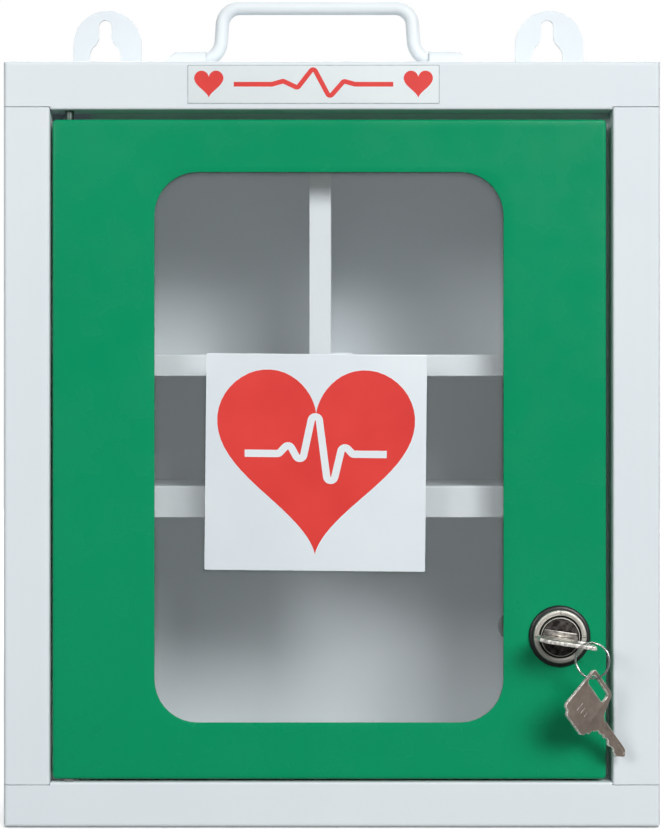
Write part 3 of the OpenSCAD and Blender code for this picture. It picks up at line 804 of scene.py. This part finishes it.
bail = [[-foot, 0], [-leg_at(0), 0], [-leg_at(rise), rise], [leg_at(rise), rise],
        [leg_at(0), 0], [foot, 0]]
line = smooth_path(bail, [FOOT_BEND, TOP_BEND, TOP_BEND, FOOT_BEND], 17)
line = np.column_stack([HANDLE[0] + line[:, 0], np.full(len(line), HANDLE[1]),
                        HANDLE[2] + line[:, 1]])
wire_section = arc((0, 0), wire, 0, 360, 33)[:-1]
make_piece("handle_wire", sweep(line, wire_section, (0, 1, 0)), "handle",
           white_paint, ["carry_handle"])

# %% [markdown]
# ## The handle's brackets
#
# Each bracket is pressed from sheet: a plate on the top panel and a hood over
# the handle's foot. In section the hood is an arch, and along its length it
# keeps its height, then slopes down into the plate. So the hood is one grid:
# angle about the foot by distance from the mouth.

# %% Brackets and rivets
bracket_low, bracket_high = corners("handle_bracket_right")
top_face = bracket_low[2]
mouth = bracket_low[0] - HANDLE[0]
bracket_length = bracket_high[0] - bracket_low[0]
bracket_width = bracket_high[1] - bracket_low[1]
HOOD_RADIUS = bracket_high[2] - HANDLE[2]
BRACKET_STEEL = 1.2
BORE = wire + 0.1
FLARE = 1.0
FLARE_LENGTH = 2.8
BORE_END = 13.1
SLOPE_START = 13.0    # from the mouth, where the hood starts to slope down
SLOPE_LENGTH = 11.0
SLOPE_CURVE = 1.15
HOOD_STATIONS = (0.35, 1.5, 4, 7, 10, 12, 13, 13.5, 14, 14.6, 15.4, 16.4, 17.6, 19, 20.4,
                 21.8, 23, 23.8)
axis_height = HANDLE[2] - top_face


def hood_loop(x, squeeze=1.0, angles=48):
    """Section of the hood at a distance x from its mouth.

    Seen from the foot's axis, the radius is the arch's above and the distance to
    the straight side or the base below: min(R / |cos|, height / |sin|). The
    slope then presses every point above it down to the line of its height.
    """
    a = np.radians(np.linspace(-90, 270, angles, endpoint=False))
    below = np.minimum(HOOD_RADIUS / np.maximum(np.abs(np.cos(a)), 1e-6),
                       axis_height / np.maximum(np.abs(np.sin(a)), 1e-6))
    radius = np.where(np.sin(a) < 0, below, HOOD_RADIUS)
    y, z = radius * np.cos(a) * squeeze, axis_height + radius * np.sin(a)
    full = axis_height + HOOD_RADIUS
    slope = np.clip((x - SLOPE_START) / SLOPE_LENGTH, 0, 1)
    ceiling = full * (1 - slope ** SLOPE_CURVE)
    z = np.minimum(z, np.maximum(ceiling, 0.05))
    return np.column_stack([np.full(angles, float(x)), y, z])


def bore_loop(x, radius, angles=48):
    """Circle about the foot's axis, with the same angles as the hood's loops."""
    a = np.radians(np.linspace(-90, 270, angles, endpoint=False))
    return np.column_stack([np.full(angles, float(x)), radius * np.cos(a),
                            axis_height + radius * np.sin(a)])


hood_rows = (
    [bore_loop(BORE_END, 0.01), bore_loop(BORE_END, BORE), bore_loop(FLARE_LENGTH, BORE),
     bore_loop(0.15, BORE + FLARE), hood_loop(0.0, 0.985)]
    + [hood_loop(x) for x in HOOD_STATIONS]
    + [hood_loop(SLOPE_START + SLOPE_LENGTH, 0.9)]
)
hood = skin(hood_rows, caps=True)
RIVET_INSET = 29.0
RIVET_PITCH = 10.0
rivet_holes = [arc((RIVET_INSET, side * RIVET_PITCH / 2), 1.66, 0, 360, 25)[:-1]
               for side in (-1, 1)]
base = plate(rounded_loop(bracket_length, bracket_width, 2.5,
                          (bracket_length / 2, 0), 7), BRACKET_STEEL, 0.3, rivet_holes)
for side, node_name in ((1, "handle_bracket_right"), (-1, "handle_bracket_left")):
    across = np.diag([side, 1, 1])
    at = (HANDLE[0] + side * mouth, HANDLE[1], top_face)
    make_piece(node_name + "_pressing", [moved(hood, across, at), moved(base, across, at)],
               "cabinet", white_paint, [node_name], 38)

head = np.vstack([[[0, -2.0], [2.4, -2.0], [2.6, -1.8], [2.6, -1.0], [1.6, -1.0],
                   [1.6, 1.2], [3.0, 1.2]],
                  [[3.0 * np.cos(a), 1.2 + 1.4 * np.sin(a)]
                   for a in np.radians(np.linspace(15, 90, 7))]])
rivets = [moved(revolve(head, 32, False),
                offset=(HANDLE[0] + sx * (mouth + RIVET_INSET),
                        HANDLE[1] + sy * RIVET_PITCH / 2, top_face))
          for sx in (-1, 1) for sy in (-1, 1)]
make_piece("bracket_rivet_heads", rivets, "cabinet", white_paint,
           ["bracket_rivets"])

# %% [markdown]
# ## Spot welds
#
# The sheets are held together by spot welds. Each leaves a shallow dimple with a
# low rim, which the paint softens but does not hide. One dimple is a turned
# profile, and rows of copies follow the folded edges behind the sheet: round the
# back panel, and along both shelves on the back and the sides.

# %% Spot weld marks
back_face = corners("back_panel")[1][1]
cabinet_high = corners("right_side_panel")[1]
EDGE_INSET = 7.5      # from an edge of the cabinet to its row of welds
LOWEST_WELD = 28
ROW_ENDS = 105        # how far the back's level rows reach to each side
BACK_SHELF_WELDS = (-100, -35, 35, 100)
SIDE_SHELF_WELDS = (-30, 5, 40)
dimple = revolve([[0, 0.02], [1.2, 0.02], [1.7, 0.08], [2.2, 0.24], [2.6, 0.26], [3.1, 0.0],
                  [3.1, -0.1], [0, -0.1]], 24, False)
weld_rows_z = [(corners(shelf)[0][2] + corners(shelf)[1][2]) / 2
               for shelf in ("upper_shelf", "lower_shelf")]
weld_x = cabinet_high[0] - EDGE_INSET
weld_top = cabinet_high[2] - EDGE_INSET
back_welds = [(side * weld_x, z) for side in (-1, 1)
              for z in np.linspace(LOWEST_WELD, weld_top - 20, 6)]
back_welds += [(x, z) for z in (EDGE_INSET, weld_top)
               for x in np.linspace(-ROW_ENDS, ROW_ENDS, 5)]
back_welds += [(x, z) for z in weld_rows_z for x in BACK_SHELF_WELDS]
dimples = [moved(dimple, turn("x", -90), (x, back_face, z)) for x, z in back_welds]
dimples += [moved(dimple, turn("y", side * 90), (side * cabinet_high[0], y, z))
            for side in (-1, 1) for z in weld_rows_z for y in SIDE_SHELF_WELDS]
make_piece("spot_weld_dimples", dimples, "cabinet", weld_paint, sharp=60)

# %% [markdown]
# ## Hinge pins and washer
#
# The door turns on two short pins. They are turned parts, so each is a profile
# spun about its axis, with small chamfers where a lathe would leave them.

# %% Pins
PIN = 2.0
PIN_HEAD = 1.5


def pin_profile(length, head_radius=3.2, chamfer=0.35):
    """[radius, height] from the pin's point at 0 up to its head."""
    return [[0, 0], [PIN - chamfer, 0], [PIN, chamfer], [PIN, length],
            [head_radius - 0.1, length], [head_radius, length + 0.1],
            [head_radius, length + PIN_HEAD - chamfer],
            [head_radius - chamfer, length + PIN_HEAD], [0, length + PIN_HEAD]]


for node_name, name, facing, end in (
        ("upper_hinge_pin", "upper_pin_turned", flip_z, 1),
        ("lower_hinge_pin", "lower_pin_turned", np.eye(3), 0)):
    ends_z = [corner[2] for corner in corners(node_name)]
    pin = revolve(pin_profile(ends_z[1] - ends_z[0] - PIN_HEAD), 40, False)
    make_piece(name, moved(pin, facing, (pin_x, pin_y, ends_z[end])), "door",
               zinc_painted_shade, [node_name])
washer_low, washer_high = corners("lower_hinge_washer")
washer_height = washer_high[2] - washer_low[2]
washer = revolve([[2.08, 0.1], [2.18, 0], [3.35, 0], [3.5, 0.15],
                  [3.5, washer_height - 0.15], [3.35, washer_height],
                  [2.18, washer_height], [2.08, washer_height - 0.1]], 40)
make_piece("hinge_washer", moved(washer, offset=(pin_x, pin_y, washer_low[2])),
           "cabinet", nylon, ["lower_hinge_washer"])

# %% [markdown]
# ## The lock
#
# A cam lock is a stack of turned parts on one axis, seen here nearly from the
# front: a black trim ring, a bright flange, a dark plug. The profile is drawn as
# [radius, depth], spun, and laid so that its axis points into the door. Two
# departures from a plain spin make it real: small index notches in the flange,
# and a helical thread on the barrel, which shows when the door is open.

# %% Flange, barrel and trim ring


def on_lock_axis(part, spin=0.0, depth=0.0):
    """Lays a part made about Z on the lock's axis, turned clockwise by spin, with
    its own z = 0 at a depth behind the cabinet's front plane."""
    return moved(part, turn("y", spin) @ Z_TO_BACK, (LOCK[0], FRONT + depth, LOCK[2]))


trim = revolve([[9.6, -0.6], [9.9, -0.95], [12.6, -1.0], [13.5, -0.92], [14.0, -0.6],
                [14.3, -0.1], [14.3, 0.42], [9.6, 0.45]], 128)
make_piece("lock_trim", on_lock_axis(trim), "door", black_plastic,
           ["lock_trim_ring"])

flange_profile = np.array([
    [6.55, 20.5], [6.55, -1.6], [9.65, -1.6], [9.65, -2.6], [9.7, -2.85], [9.95, -3.12],
    [10.1, -3.2], [11.8, -3.16], [12.1, -3.0], [12.28, -2.6], [12.35, -1.2],
    [12.2, -1.0], [9.5, -1.0], [9.5, 2.4]])
NOTCHES = np.radians([-90, 180, 0])    # at the top, the left and the right
around = np.linspace(0, 2 * np.pi, 360, endpoint=False)
angle_to_notch = np.abs((around[:, None] - NOTCHES + np.pi) % (2 * np.pi) - np.pi)
notch = (angle_to_notch.min(1) < np.radians(2.0)).astype(float)
radius, depth = flange_profile[:, :1], flange_profile[:, 1:]
on_rim = ((radius > 10.0) & (depth < -2.4)).astype(float)
flange_grid = np.stack([radius * np.cos(around), radius * np.sin(around),
                        depth + 0.5 * on_rim * notch], -1)

THREAD_PITCH = 1.0
along = np.linspace(2.4, 20.2, 108)[1:, None]
turns = along / THREAD_PITCH - around / (2 * np.pi)
thread_radius = 9.5 - 0.45 * np.abs((turns % 1) * 2 - 1)
thread_grid = np.stack([thread_radius * np.cos(around), thread_radius * np.sin(around),
                        along + 0 * around], -1)
end_ring = np.stack([9.1 * np.cos(around), 9.1 * np.sin(around), 20.5 + 0 * around], -1)
barrel = skin(np.concatenate([flange_grid, thread_grid, end_ring[None]]),
              close_rows=True)
lock_barrel = make_piece("lock_barrel", on_lock_axis(barrel), "door",
                         nickel, ["lock_body"])
middles, normals = face_table(lock_barrel.data)
from_axis = np.hypot(middles[:, 0] - LOCK[0], middles[:, 2] - LOCK[2])
# The groove round the plug and the walls of the notches get painted shade.
in_groove = (from_axis < 9.9) & (middles[:, 1] < FRONT - 1.5)
in_notch = (np.abs(normals[:, 1]) < 0.9) & (from_axis > 10.1) & (from_axis < 11.7)
second_finish(lock_barrel, in_groove | (in_notch & (middles[:, 1] < FRONT - 2.6)), groove_painted_shade)

# %% Plug: dark cast face, bright rim and a raised bar with the keyway
plug_rows = revolve([[0, -3.35], [8.2, -3.35], [8.35, -3.45], [8.4, -3.55], [8.6, -3.7],
                     [8.85, -3.66], [9.1, -3.45], [9.15, -3.2], [9.15, -1.75],
                     [6.5, -1.75], [6.5, 21.0], [0, 21.0]], 128, False)
KEY_DROP = 0.8    # the key lies a little below the plug's axis
KEYWAY_AT = (0, KEY_DROP)
keyway = plate(rounded_loop(6.5, 2.0, 0.2, KEYWAY_AT, 4), 25, 0.02, steps=2)
keyway = on_lock_axis(keyway, PLUG_TURN, -7.5)
plug_mesh = carve(new_mesh("plug_core", on_lock_axis(plug_rows, PLUG_TURN)), [keyway])
make_piece("plug_core", plug_mesh, "plug", plug_metal, ["lock_plug"])

bar_outline = np.vstack([arc((0, 0), 8.1, -19, 19, 9), arc((0, 0), 8.1, 161, 199, 9)])
bar = plate(bar_outline, 0.42, 0.16, [rounded_loop(6.6, 2.1, 0.3, KEYWAY_AT, 4)])
make_piece("plug_bar", on_lock_axis(bar, PLUG_TURN, -3.7), "plug", worn_metal)

rim = revolve([[8.42, -3.4], [8.5, -3.62], [8.7, -3.7], [8.9, -3.66], [9.08, -3.45],
               [9.15, -3.1], [9.15, -2.4], [8.42, -2.4]], 128)
make_piece("plug_rim", on_lock_axis(rim, PLUG_TURN), "plug", nickel)

stub = plate(np.vstack([arc((0, 0), 4.0, -44.4, 44.4, 9), arc((0, 0), 4.0, 135.6, 224.4, 9)]),
             2.0, 0.1)
make_piece("plug_stub", on_lock_axis(stub, PLUG_TURN, 21.0), "plug", zinc)

# %% [markdown]
# ## Behind the door: washer, nut, cam and screw
#
# These show when the door is open, so they get their chamfers and their bend
# too. The cam is a grid again: along the bar by across it. The width shrinks to
# a half circle at each end, and a smooth step cranks the bar forward.

# %% Washer and nut
washer_low, washer_high = corners("lock_washer")
washer_face = washer_low[1] - FRONT
lock_washer = revolve([[9.6, 0.1], [9.7, 0], [12.35, 0], [12.5, 0.15], [12.5, 0.85],
                       [12.35, 1.0], [9.7, 1.0], [9.6, 0.9]], 96)
make_piece("lock_washer_zinc", on_lock_axis(lock_washer, depth=washer_face), "door",
           zinc, ["lock_washer"])

nut_low, nut_high = corners("lock_nut")
nut_height = nut_high[1] - nut_low[1]
ACROSS_FLATS = 24
CHAMFER_RADIUS = 12.0    # inside this circle the nut's faces stay flat
CHAMFER_SLOPE = 0.45
hexagon = arc((0, 0), ACROSS_FLATS / np.cos(np.radians(30)) / 2, 0, 300, 6)
around_hex = np.linspace(0, 1, 12, endpoint=False)[:, None]
hexagon = np.vstack([a * (1 - around_hex) + b * around_hex
                     for a, b in zip(hexagon, np.roll(hexagon, -1, 0))])
bore = arc((0, 0), 9.55, 0, 360, 73)[:-1]
hex_radius = np.linalg.norm(hexagon, axis=1)
flat_edge = hexagon / hex_radius[:, None] * CHAMFER_RADIUS


def nut_loop(outline, z):
    """A flat loop of [x, y] points at one height."""
    return np.column_stack([outline, np.full(len(outline), z)])


drop = (hex_radius - CHAMFER_RADIUS) * CHAMFER_SLOPE
nut = skin([nut_loop(bore, 0), nut_loop(flat_edge, 0), np.column_stack([hexagon, drop]),
            np.column_stack([hexagon, nut_height - drop]), nut_loop(flat_edge, nut_height),
            nut_loop(bore, nut_height)], close_rows=True)
make_piece("lock_nut_hex", on_lock_axis(nut, depth=nut_low[1] - FRONT), "door",
           zinc, ["lock_nut"], 25)

# %% Cam and its screw
cam_low, cam_high = corners("lock_cam")
CAM_WIDTH = 14.0
CAM_REACH = 27.4
CAM_STEEL = 2.0
cam_front = cam_high[1] - FRONT - CAM_STEEL
crank = cam_high[1] - cam_low[1] - CAM_STEEL


def cam_surface(shrink, lift):
    """One face of the cam as a grid of [along, across].

    Along runs from the hub's end to the tip with cosine spacing. The half width
    is sqrt(r^2 - e^2), where e is how far a point lies past the centre of the
    nearest end circle. The depth steps forward by the crank between 11 and 17 mm
    from the axis, as 3 s^2 - 2 s^3.
    """
    r = CAM_WIDTH / 2 - shrink
    s = (1 - np.cos(np.linspace(0, np.pi, 41))) / 2
    x = CAM_WIDTH / 2 - shrink - s * (CAM_REACH + CAM_WIDTH / 2 - 2 * shrink)
    past = np.maximum(x, 0) + np.maximum(-(CAM_REACH - CAM_WIDTH / 2) - x, 0)
    half = np.sqrt(np.maximum(r * r - past * past, 1e-4))
    across = np.linspace(-1, 1, 9)
    step = np.clip((-x - 11) / 6, 0, 1)
    depth = cam_front + lift - crank * (3 * step ** 2 - 2 * step ** 3)
    return np.stack(np.broadcast_arrays(x[:, None], half[:, None] * across,
                                        depth[:, None]), -1)


def edge_loop(surface):
    """The rim of a grid, once round."""
    return np.vstack([surface[:-1, 0], surface[-1, :-1], surface[:0:-1, -1],
                      surface[0, :0:-1]])


faces = [cam_surface(0.25, 0.0), cam_surface(0.25, CAM_STEEL)]
rims = [edge_loop(faces[0]), edge_loop(cam_surface(0, 0.25)),
        edge_loop(cam_surface(0, CAM_STEEL - 0.25)), edge_loop(faces[1])]
cam = join([skin(faces[0], close_columns=False), skin(faces[1], close_columns=False),
            skin(rims)])
make_piece("cam_bar", on_lock_axis(cam, PLUG_TURN), "plug", zinc_painted_shade,
           ["lock_cam"], 40)

screw_head = [[0, 19.0], [1.7, 19.0], [1.7, 23.0], [4.3, 23.0], [4.5, 23.2], [4.45, 24.2],
              [3.9, 25.0], [2.6, 25.4], [0, 25.5]]
screw = new_mesh("cam_screw_head", on_lock_axis(revolve(screw_head, 48, False), PLUG_TURN))
for slot_size in ((0.9, 4.8), (4.8, 0.9)):
    slot = plate(rounded_loop(*slot_size, 0.3, corner=4), 2, 0.05)
    screw = carve(screw, [on_lock_axis(slot, PLUG_TURN, 24.2)])
make_piece("cam_screw_head", screw, "plug", zinc, ["cam_screw"])

# %% [markdown]
# ## The keys
#
# Both keys are the same stamped blank: a wide bow with a slot for the ring, a
# milled groove and cuts along the blade. One stands in the lock, seen edge on,
# and the other hangs from the ring. So the key is made once, lying flat, and
# placed twice by the same turns that the frame uses.

# %% Key blank
KEY_STEEL = 1.7
SHOULDER = 22.4
GROOVE_DEPTH = 0.35
BAR_DEPTH = 0.16
CUTTER = 1.0    # thickness of the plates that cut the groove and the bars
SLOT_X, SLOT_Y, SLOT_RADIUS = (7.0, 12.1), (1.3, 14.9), 1.6
key_outline = np.array([
    [-7.4, 0], [13.2, 0], [14.2, 1], [14.2, 14.6], [13, 16.4], [8.8, 18], [4.6, 19.6],
    [3, 21.6], [3, 40.8], [1, 43], [0, 43], [-3, 39.6], [-3, 37.2], [-2.1, 36],
    [-2.1, 34.4], [-2.8, 33.2], [-2.8, 31.8], [-1.7, 30.4], [-1.7, 29], [-2.5, 28],
    [-2, 26.6], [-3, 25], [-3, SHOULDER], [-4.8, 21.4], [-5.4, 20.3], [-7.8, 20],
    [-8.3, 18.6], [-10.2, 18], [-11.4, 16.6], [-11.4, 4.2], [-9.6, 3], [-9.4, 1.2],
    [-8.6, 0.2]])
slot_middle = (sum(SLOT_X) / 2, sum(SLOT_Y) / 2)
slot_loop = rounded_loop(SLOT_X[1] - SLOT_X[0], SLOT_Y[1] - SLOT_Y[0], SLOT_RADIUS,
                         slot_middle, 6)
blank = moved(plate(key_outline, KEY_STEEL, 0.26, [slot_loop]),
              offset=(0, 0, -KEY_STEEL / 2))


def key_mesh(name, matrix, offset):
    """The key at its place, with a milled groove and three plain grip bars."""
    groove = plate(rounded_loop(1.1, 19.5, 0.5, (0.9, 32.2), 6), CUTTER, 0.05)
    cuts = [moved(groove, offset=(0, 0, KEY_STEEL / 2 - GROOVE_DEPTH)),
            moved(groove, offset=(-0.9, 0, -KEY_STEEL / 2 - CUTTER + GROOVE_DEPTH))]
    bars = [plate(rounded_loop(4.6 - 1.2 * k, 0.9, 0.4, (-3.6, 6.2 + 2.6 * k), 5),
                  CUTTER, 0.05) for k in range(3)]
    cuts += [moved(bar, offset=(0, 0, z)) for bar in bars
             for z in (KEY_STEEL / 2 - BAR_DEPTH, -KEY_STEEL / 2 - CUTTER + BAR_DEPTH)]
    mesh = new_mesh(name, moved(blank, matrix, offset), 25)
    return carve(mesh, [moved(cut, matrix, offset) for cut in cuts], 25)


def place_key(name, matrix, offset, body, replaced, flat_finish):
    """A key whose sheared edges, the faces that its flats don't point along, are nearly white:
    bare metal with a painted glint.
    """
    key = make_piece(name, key_mesh(name, matrix, offset), body, flat_finish,
                     [replaced])
    flatness = np.abs(face_table(key.data)[1] @ matrix[:, 2])
    second_finish(key, flatness < 0.96, key_edge_and_painted_glint)


plug_face = corners("lock_plug")[0][1]
key_turn = turn("y", PLUG_TURN)
key_at = (LOCK[0], plug_face - SHOULDER, LOCK[2]) + key_turn @ (0, 0, -KEY_DROP)
place_key("key_in_lock", key_turn, key_at, "key", "key", rubbed_flat)

SPARE = pivot("spare_swing")
spare_axis = np.array(joints["spare_swing"]["axis"])
SPARE_YAW = np.degrees(np.arctan2(spare_axis[0], -spare_axis[1]))
SPARE_SLOPE = 49.3
HANG_POINT = np.array([10.6, 2.6, 0])
spare_turn = (turn("z", SPARE_YAW) @ turn("x", 90) @ turn("z", -90 - SPARE_SLOPE)
              @ np.diag([-1, 1, 1]))
place_key("hanging_key", spare_turn, SPARE - spare_turn @ HANG_POINT, "spare", "spare_key",
          key_metal)

# %% [markdown]
# ## The split ring
#
# The ring is two turns of flat spring wire side by side. Its path goes round
# twice, and a smooth step moves it across by one wire in between, so the ends
# and the crossing show as they do on a real one. The ring's plane is square to
# the axis that it swings about, which the frame gives.

# %% Ring
RING_WIRE = 0.5    # half the width of the two turns
ring_low, ring_high = corners("key_ring")
ring_radius = (ring_high[2] - ring_low[2]) / 2 - RING_WIRE
ring_axis = np.array(joints["ring_swing"]["axis"])
ring_side = np.cross(ring_axis, (0, 0, 1))
a = np.linspace(0.15, 4 * np.pi - 0.15, 241)[:, None]
step = np.clip((a - 2 * np.pi + 0.35) / 0.7, 0, 1)
offset = RING_WIRE * 0.5 * (2 * (3 * step ** 2 - 2 * step ** 3) - 1)
ring_path = ((ring_low + ring_high) / 2 + ring_radius * np.cos(a + 2.4) * ring_side
             + ring_radius * np.sin(a + 2.4) * np.array([0, 0, 1]) + offset * ring_axis)
flat_wire = rounded_loop(0.78, 0.46, 0.14, corner=4)
make_piece("split_ring", sweep(ring_path, flat_wire, ring_axis), "ring",
           spring_wire, ["key_ring"])

# %% [markdown]
# ## Light, floor and camera
#
# The shadows on the door show where the lamps stood: two large softboxes to the
# right of the camera and one to the left, all a little above the cabinet. Their
# powers come from a balance of the light on the stiles, the door and the inside.
# A weak one in front softens the shadows, and one behind lights the back panel.
# The world is a bright wall behind the cabinet, which lights the sides and the
# back, and dark in front, where only metal sees a dim room. The camera sees
# plain white.

# %% World


WALL_START, WALL_END = -0.05, 0.5    # where the bright wall fades in, as the y of a ray
WALL_LIGHT = 0.75
DIM_ROOM = 0.07                      # what metal sees in front
SOFTBOX_SIZE = (1.9, 1.6)
SOFTBOX_DISTANCE = 5.0
LAMPS_AIM = Vector((0, 0, 0.18))     # the cabinet's middle, in metres


def world_light():
    """White for camera and transmission rays. Others see a straight ramp on the
    direction's y, from nothing at the side to the bright wall behind, and glossy
    rays see a dim room added to it."""
    world = bpy.data.worlds.new("studio")
    bpy.context.scene.world = world
    world.use_nodes = True
    background = world.node_tree.nodes["Background"]
    background.inputs["Color"].default_value = (1, 1, 1, 1)
    rays = node(world, "ShaderNodeLightPath")
    place = node(world, "ShaderNodeTexCoord")
    split = node(world, "ShaderNodeSeparateXYZ")
    ramp = node(world, "ShaderNodeMapRange", From_Min=WALL_START, From_Max=WALL_END,
                To_Min=0.0, To_Max=WALL_LIGHT)
    room = node(world, "ShaderNodeMath", operation="MULTIPLY_ADD")
    room.inputs[1].default_value = DIM_ROOM
    seen = node(world, "ShaderNodeMath", operation="MAXIMUM")
    mix = node(world, "ShaderNodeMix", B=1.0)
    link(world, place.outputs["Generated"], split.inputs["Vector"])
    link(world, split.outputs["Y"], ramp.inputs["Value"])
    link(world, rays.outputs["Is Glossy Ray"], room.inputs[0])
    link(world, ramp.outputs["Result"], room.inputs[2])
    link(world, rays.outputs["Is Camera Ray"], seen.inputs[0])
    link(world, rays.outputs["Is Transmission Ray"], seen.inputs[1])
    link(world, seen.outputs["Value"], mix.inputs["Factor"])
    link(world, room.outputs["Value"], mix.inputs["A"])
    link(world, mix.outputs["Result"], background.inputs["Strength"])


def softbox(name, azimuth, elevation, power):
    """Area lamp that looks at the cabinet's middle. Azimuth 0 is in front."""
    lamp = bpy.data.lights.new(name, "AREA")
    lamp.shape, lamp.size, lamp.size_y, lamp.energy = "RECTANGLE", *SOFTBOX_SIZE, power
    box = bpy.data.objects.new(name, lamp)
    bpy.context.scene.collection.objects.link(box)
    az, el = np.radians(azimuth), np.radians(elevation)
    away = Vector((np.sin(az) * np.cos(el), -np.cos(az) * np.cos(el), np.sin(el)))
    box.location = LAMPS_AIM + away * SOFTBOX_DISTANCE
    box.rotation_euler = away.to_track_quat("Z", "Y").to_euler()


world_light()
softbox("softbox_right", 22, 29, 127)
softbox("softbox_far_right", 36, 22, 88)
softbox("softbox_left", -36, 19, 85)
softbox("softbox_front", 0, 24, 8)
softbox("softbox_behind", 180, 32, 130)

# %% [markdown]
# ## A floor with two faces
#
# The camera should see a floor as white as the backdrop, with only the cabinet's
# own shadow on it. But so white a floor would throw light up under the shelves.
# So the floor's colour is pale and softly glowing for camera rays, and dark for
# all others.

# %% Floor
FLOOR_SIZE = 6.0
FLOOR_SEEN = (0.86, 0.87, 0.88, 1)
FLOOR_BOUNCE = (0.15, 0.15, 0.15, 1)
FLOOR_GLOW = 0.38
floor_mesh = bpy.data.meshes.new("floor")
half = FLOOR_SIZE / 2
floor_mesh.from_pydata([(-half, -half, 0), (half, -half, 0), (half, half, 0),
                        (-half, half, 0)], [], [(0, 1, 2, 3)])
floor = add_object("floor", floor_mesh)
floor.location.z = -0.0002
floor_finish = finish("pale_floor", FLOOR_SEEN[:3], 0.9, Specular_IOR_Level=0.1)
rays = node(floor_finish, "ShaderNodeLightPath")
tint = node(floor_finish, "ShaderNodeMix", data_type="RGBA")
tint.inputs["A"].default_value = FLOOR_BOUNCE
tint.inputs["B"].default_value = FLOOR_SEEN
glow = node(floor_finish, "ShaderNodeMath", operation="MULTIPLY")
glow.inputs[1].default_value = FLOOR_GLOW
shader_of(floor_finish).inputs["Emission Color"].default_value = (1, 1, 1, 1)
link(floor_finish, rays.outputs["Is Camera Ray"], tint.inputs["Factor"])
link(floor_finish, tint.outputs["Result"], shader_of(floor_finish).inputs["Base Color"])
link(floor_finish, rays.outputs["Is Camera Ray"], glow.inputs[0])
link(floor_finish, glow.outputs["Value"], shader_of(floor_finish).inputs["Emission Strength"])
floor_mesh.materials.append(floor_finish)

# %% [markdown]
# ## Camera
#
# The camera's place was solved from the photograph: it looks straight along Y,
# 900 mm in front of the cabinet's face, a little above half its height.

# %% Camera
CAMERA_AT = (-0.0004, -0.957, 0.1912)
camera_data = bpy.data.cameras.new("camera")
camera_data.lens = 83.93
camera_data.sensor_width = 36.0
camera = bpy.data.objects.new("camera", camera_data)
bpy.context.scene.collection.objects.link(camera)
camera.location = CAMERA_AT
camera.rotation_euler = (np.pi / 2, 0, 0)
bpy.context.scene.camera = camera
bpy.context.scene.view_settings.view_transform = "Standard"
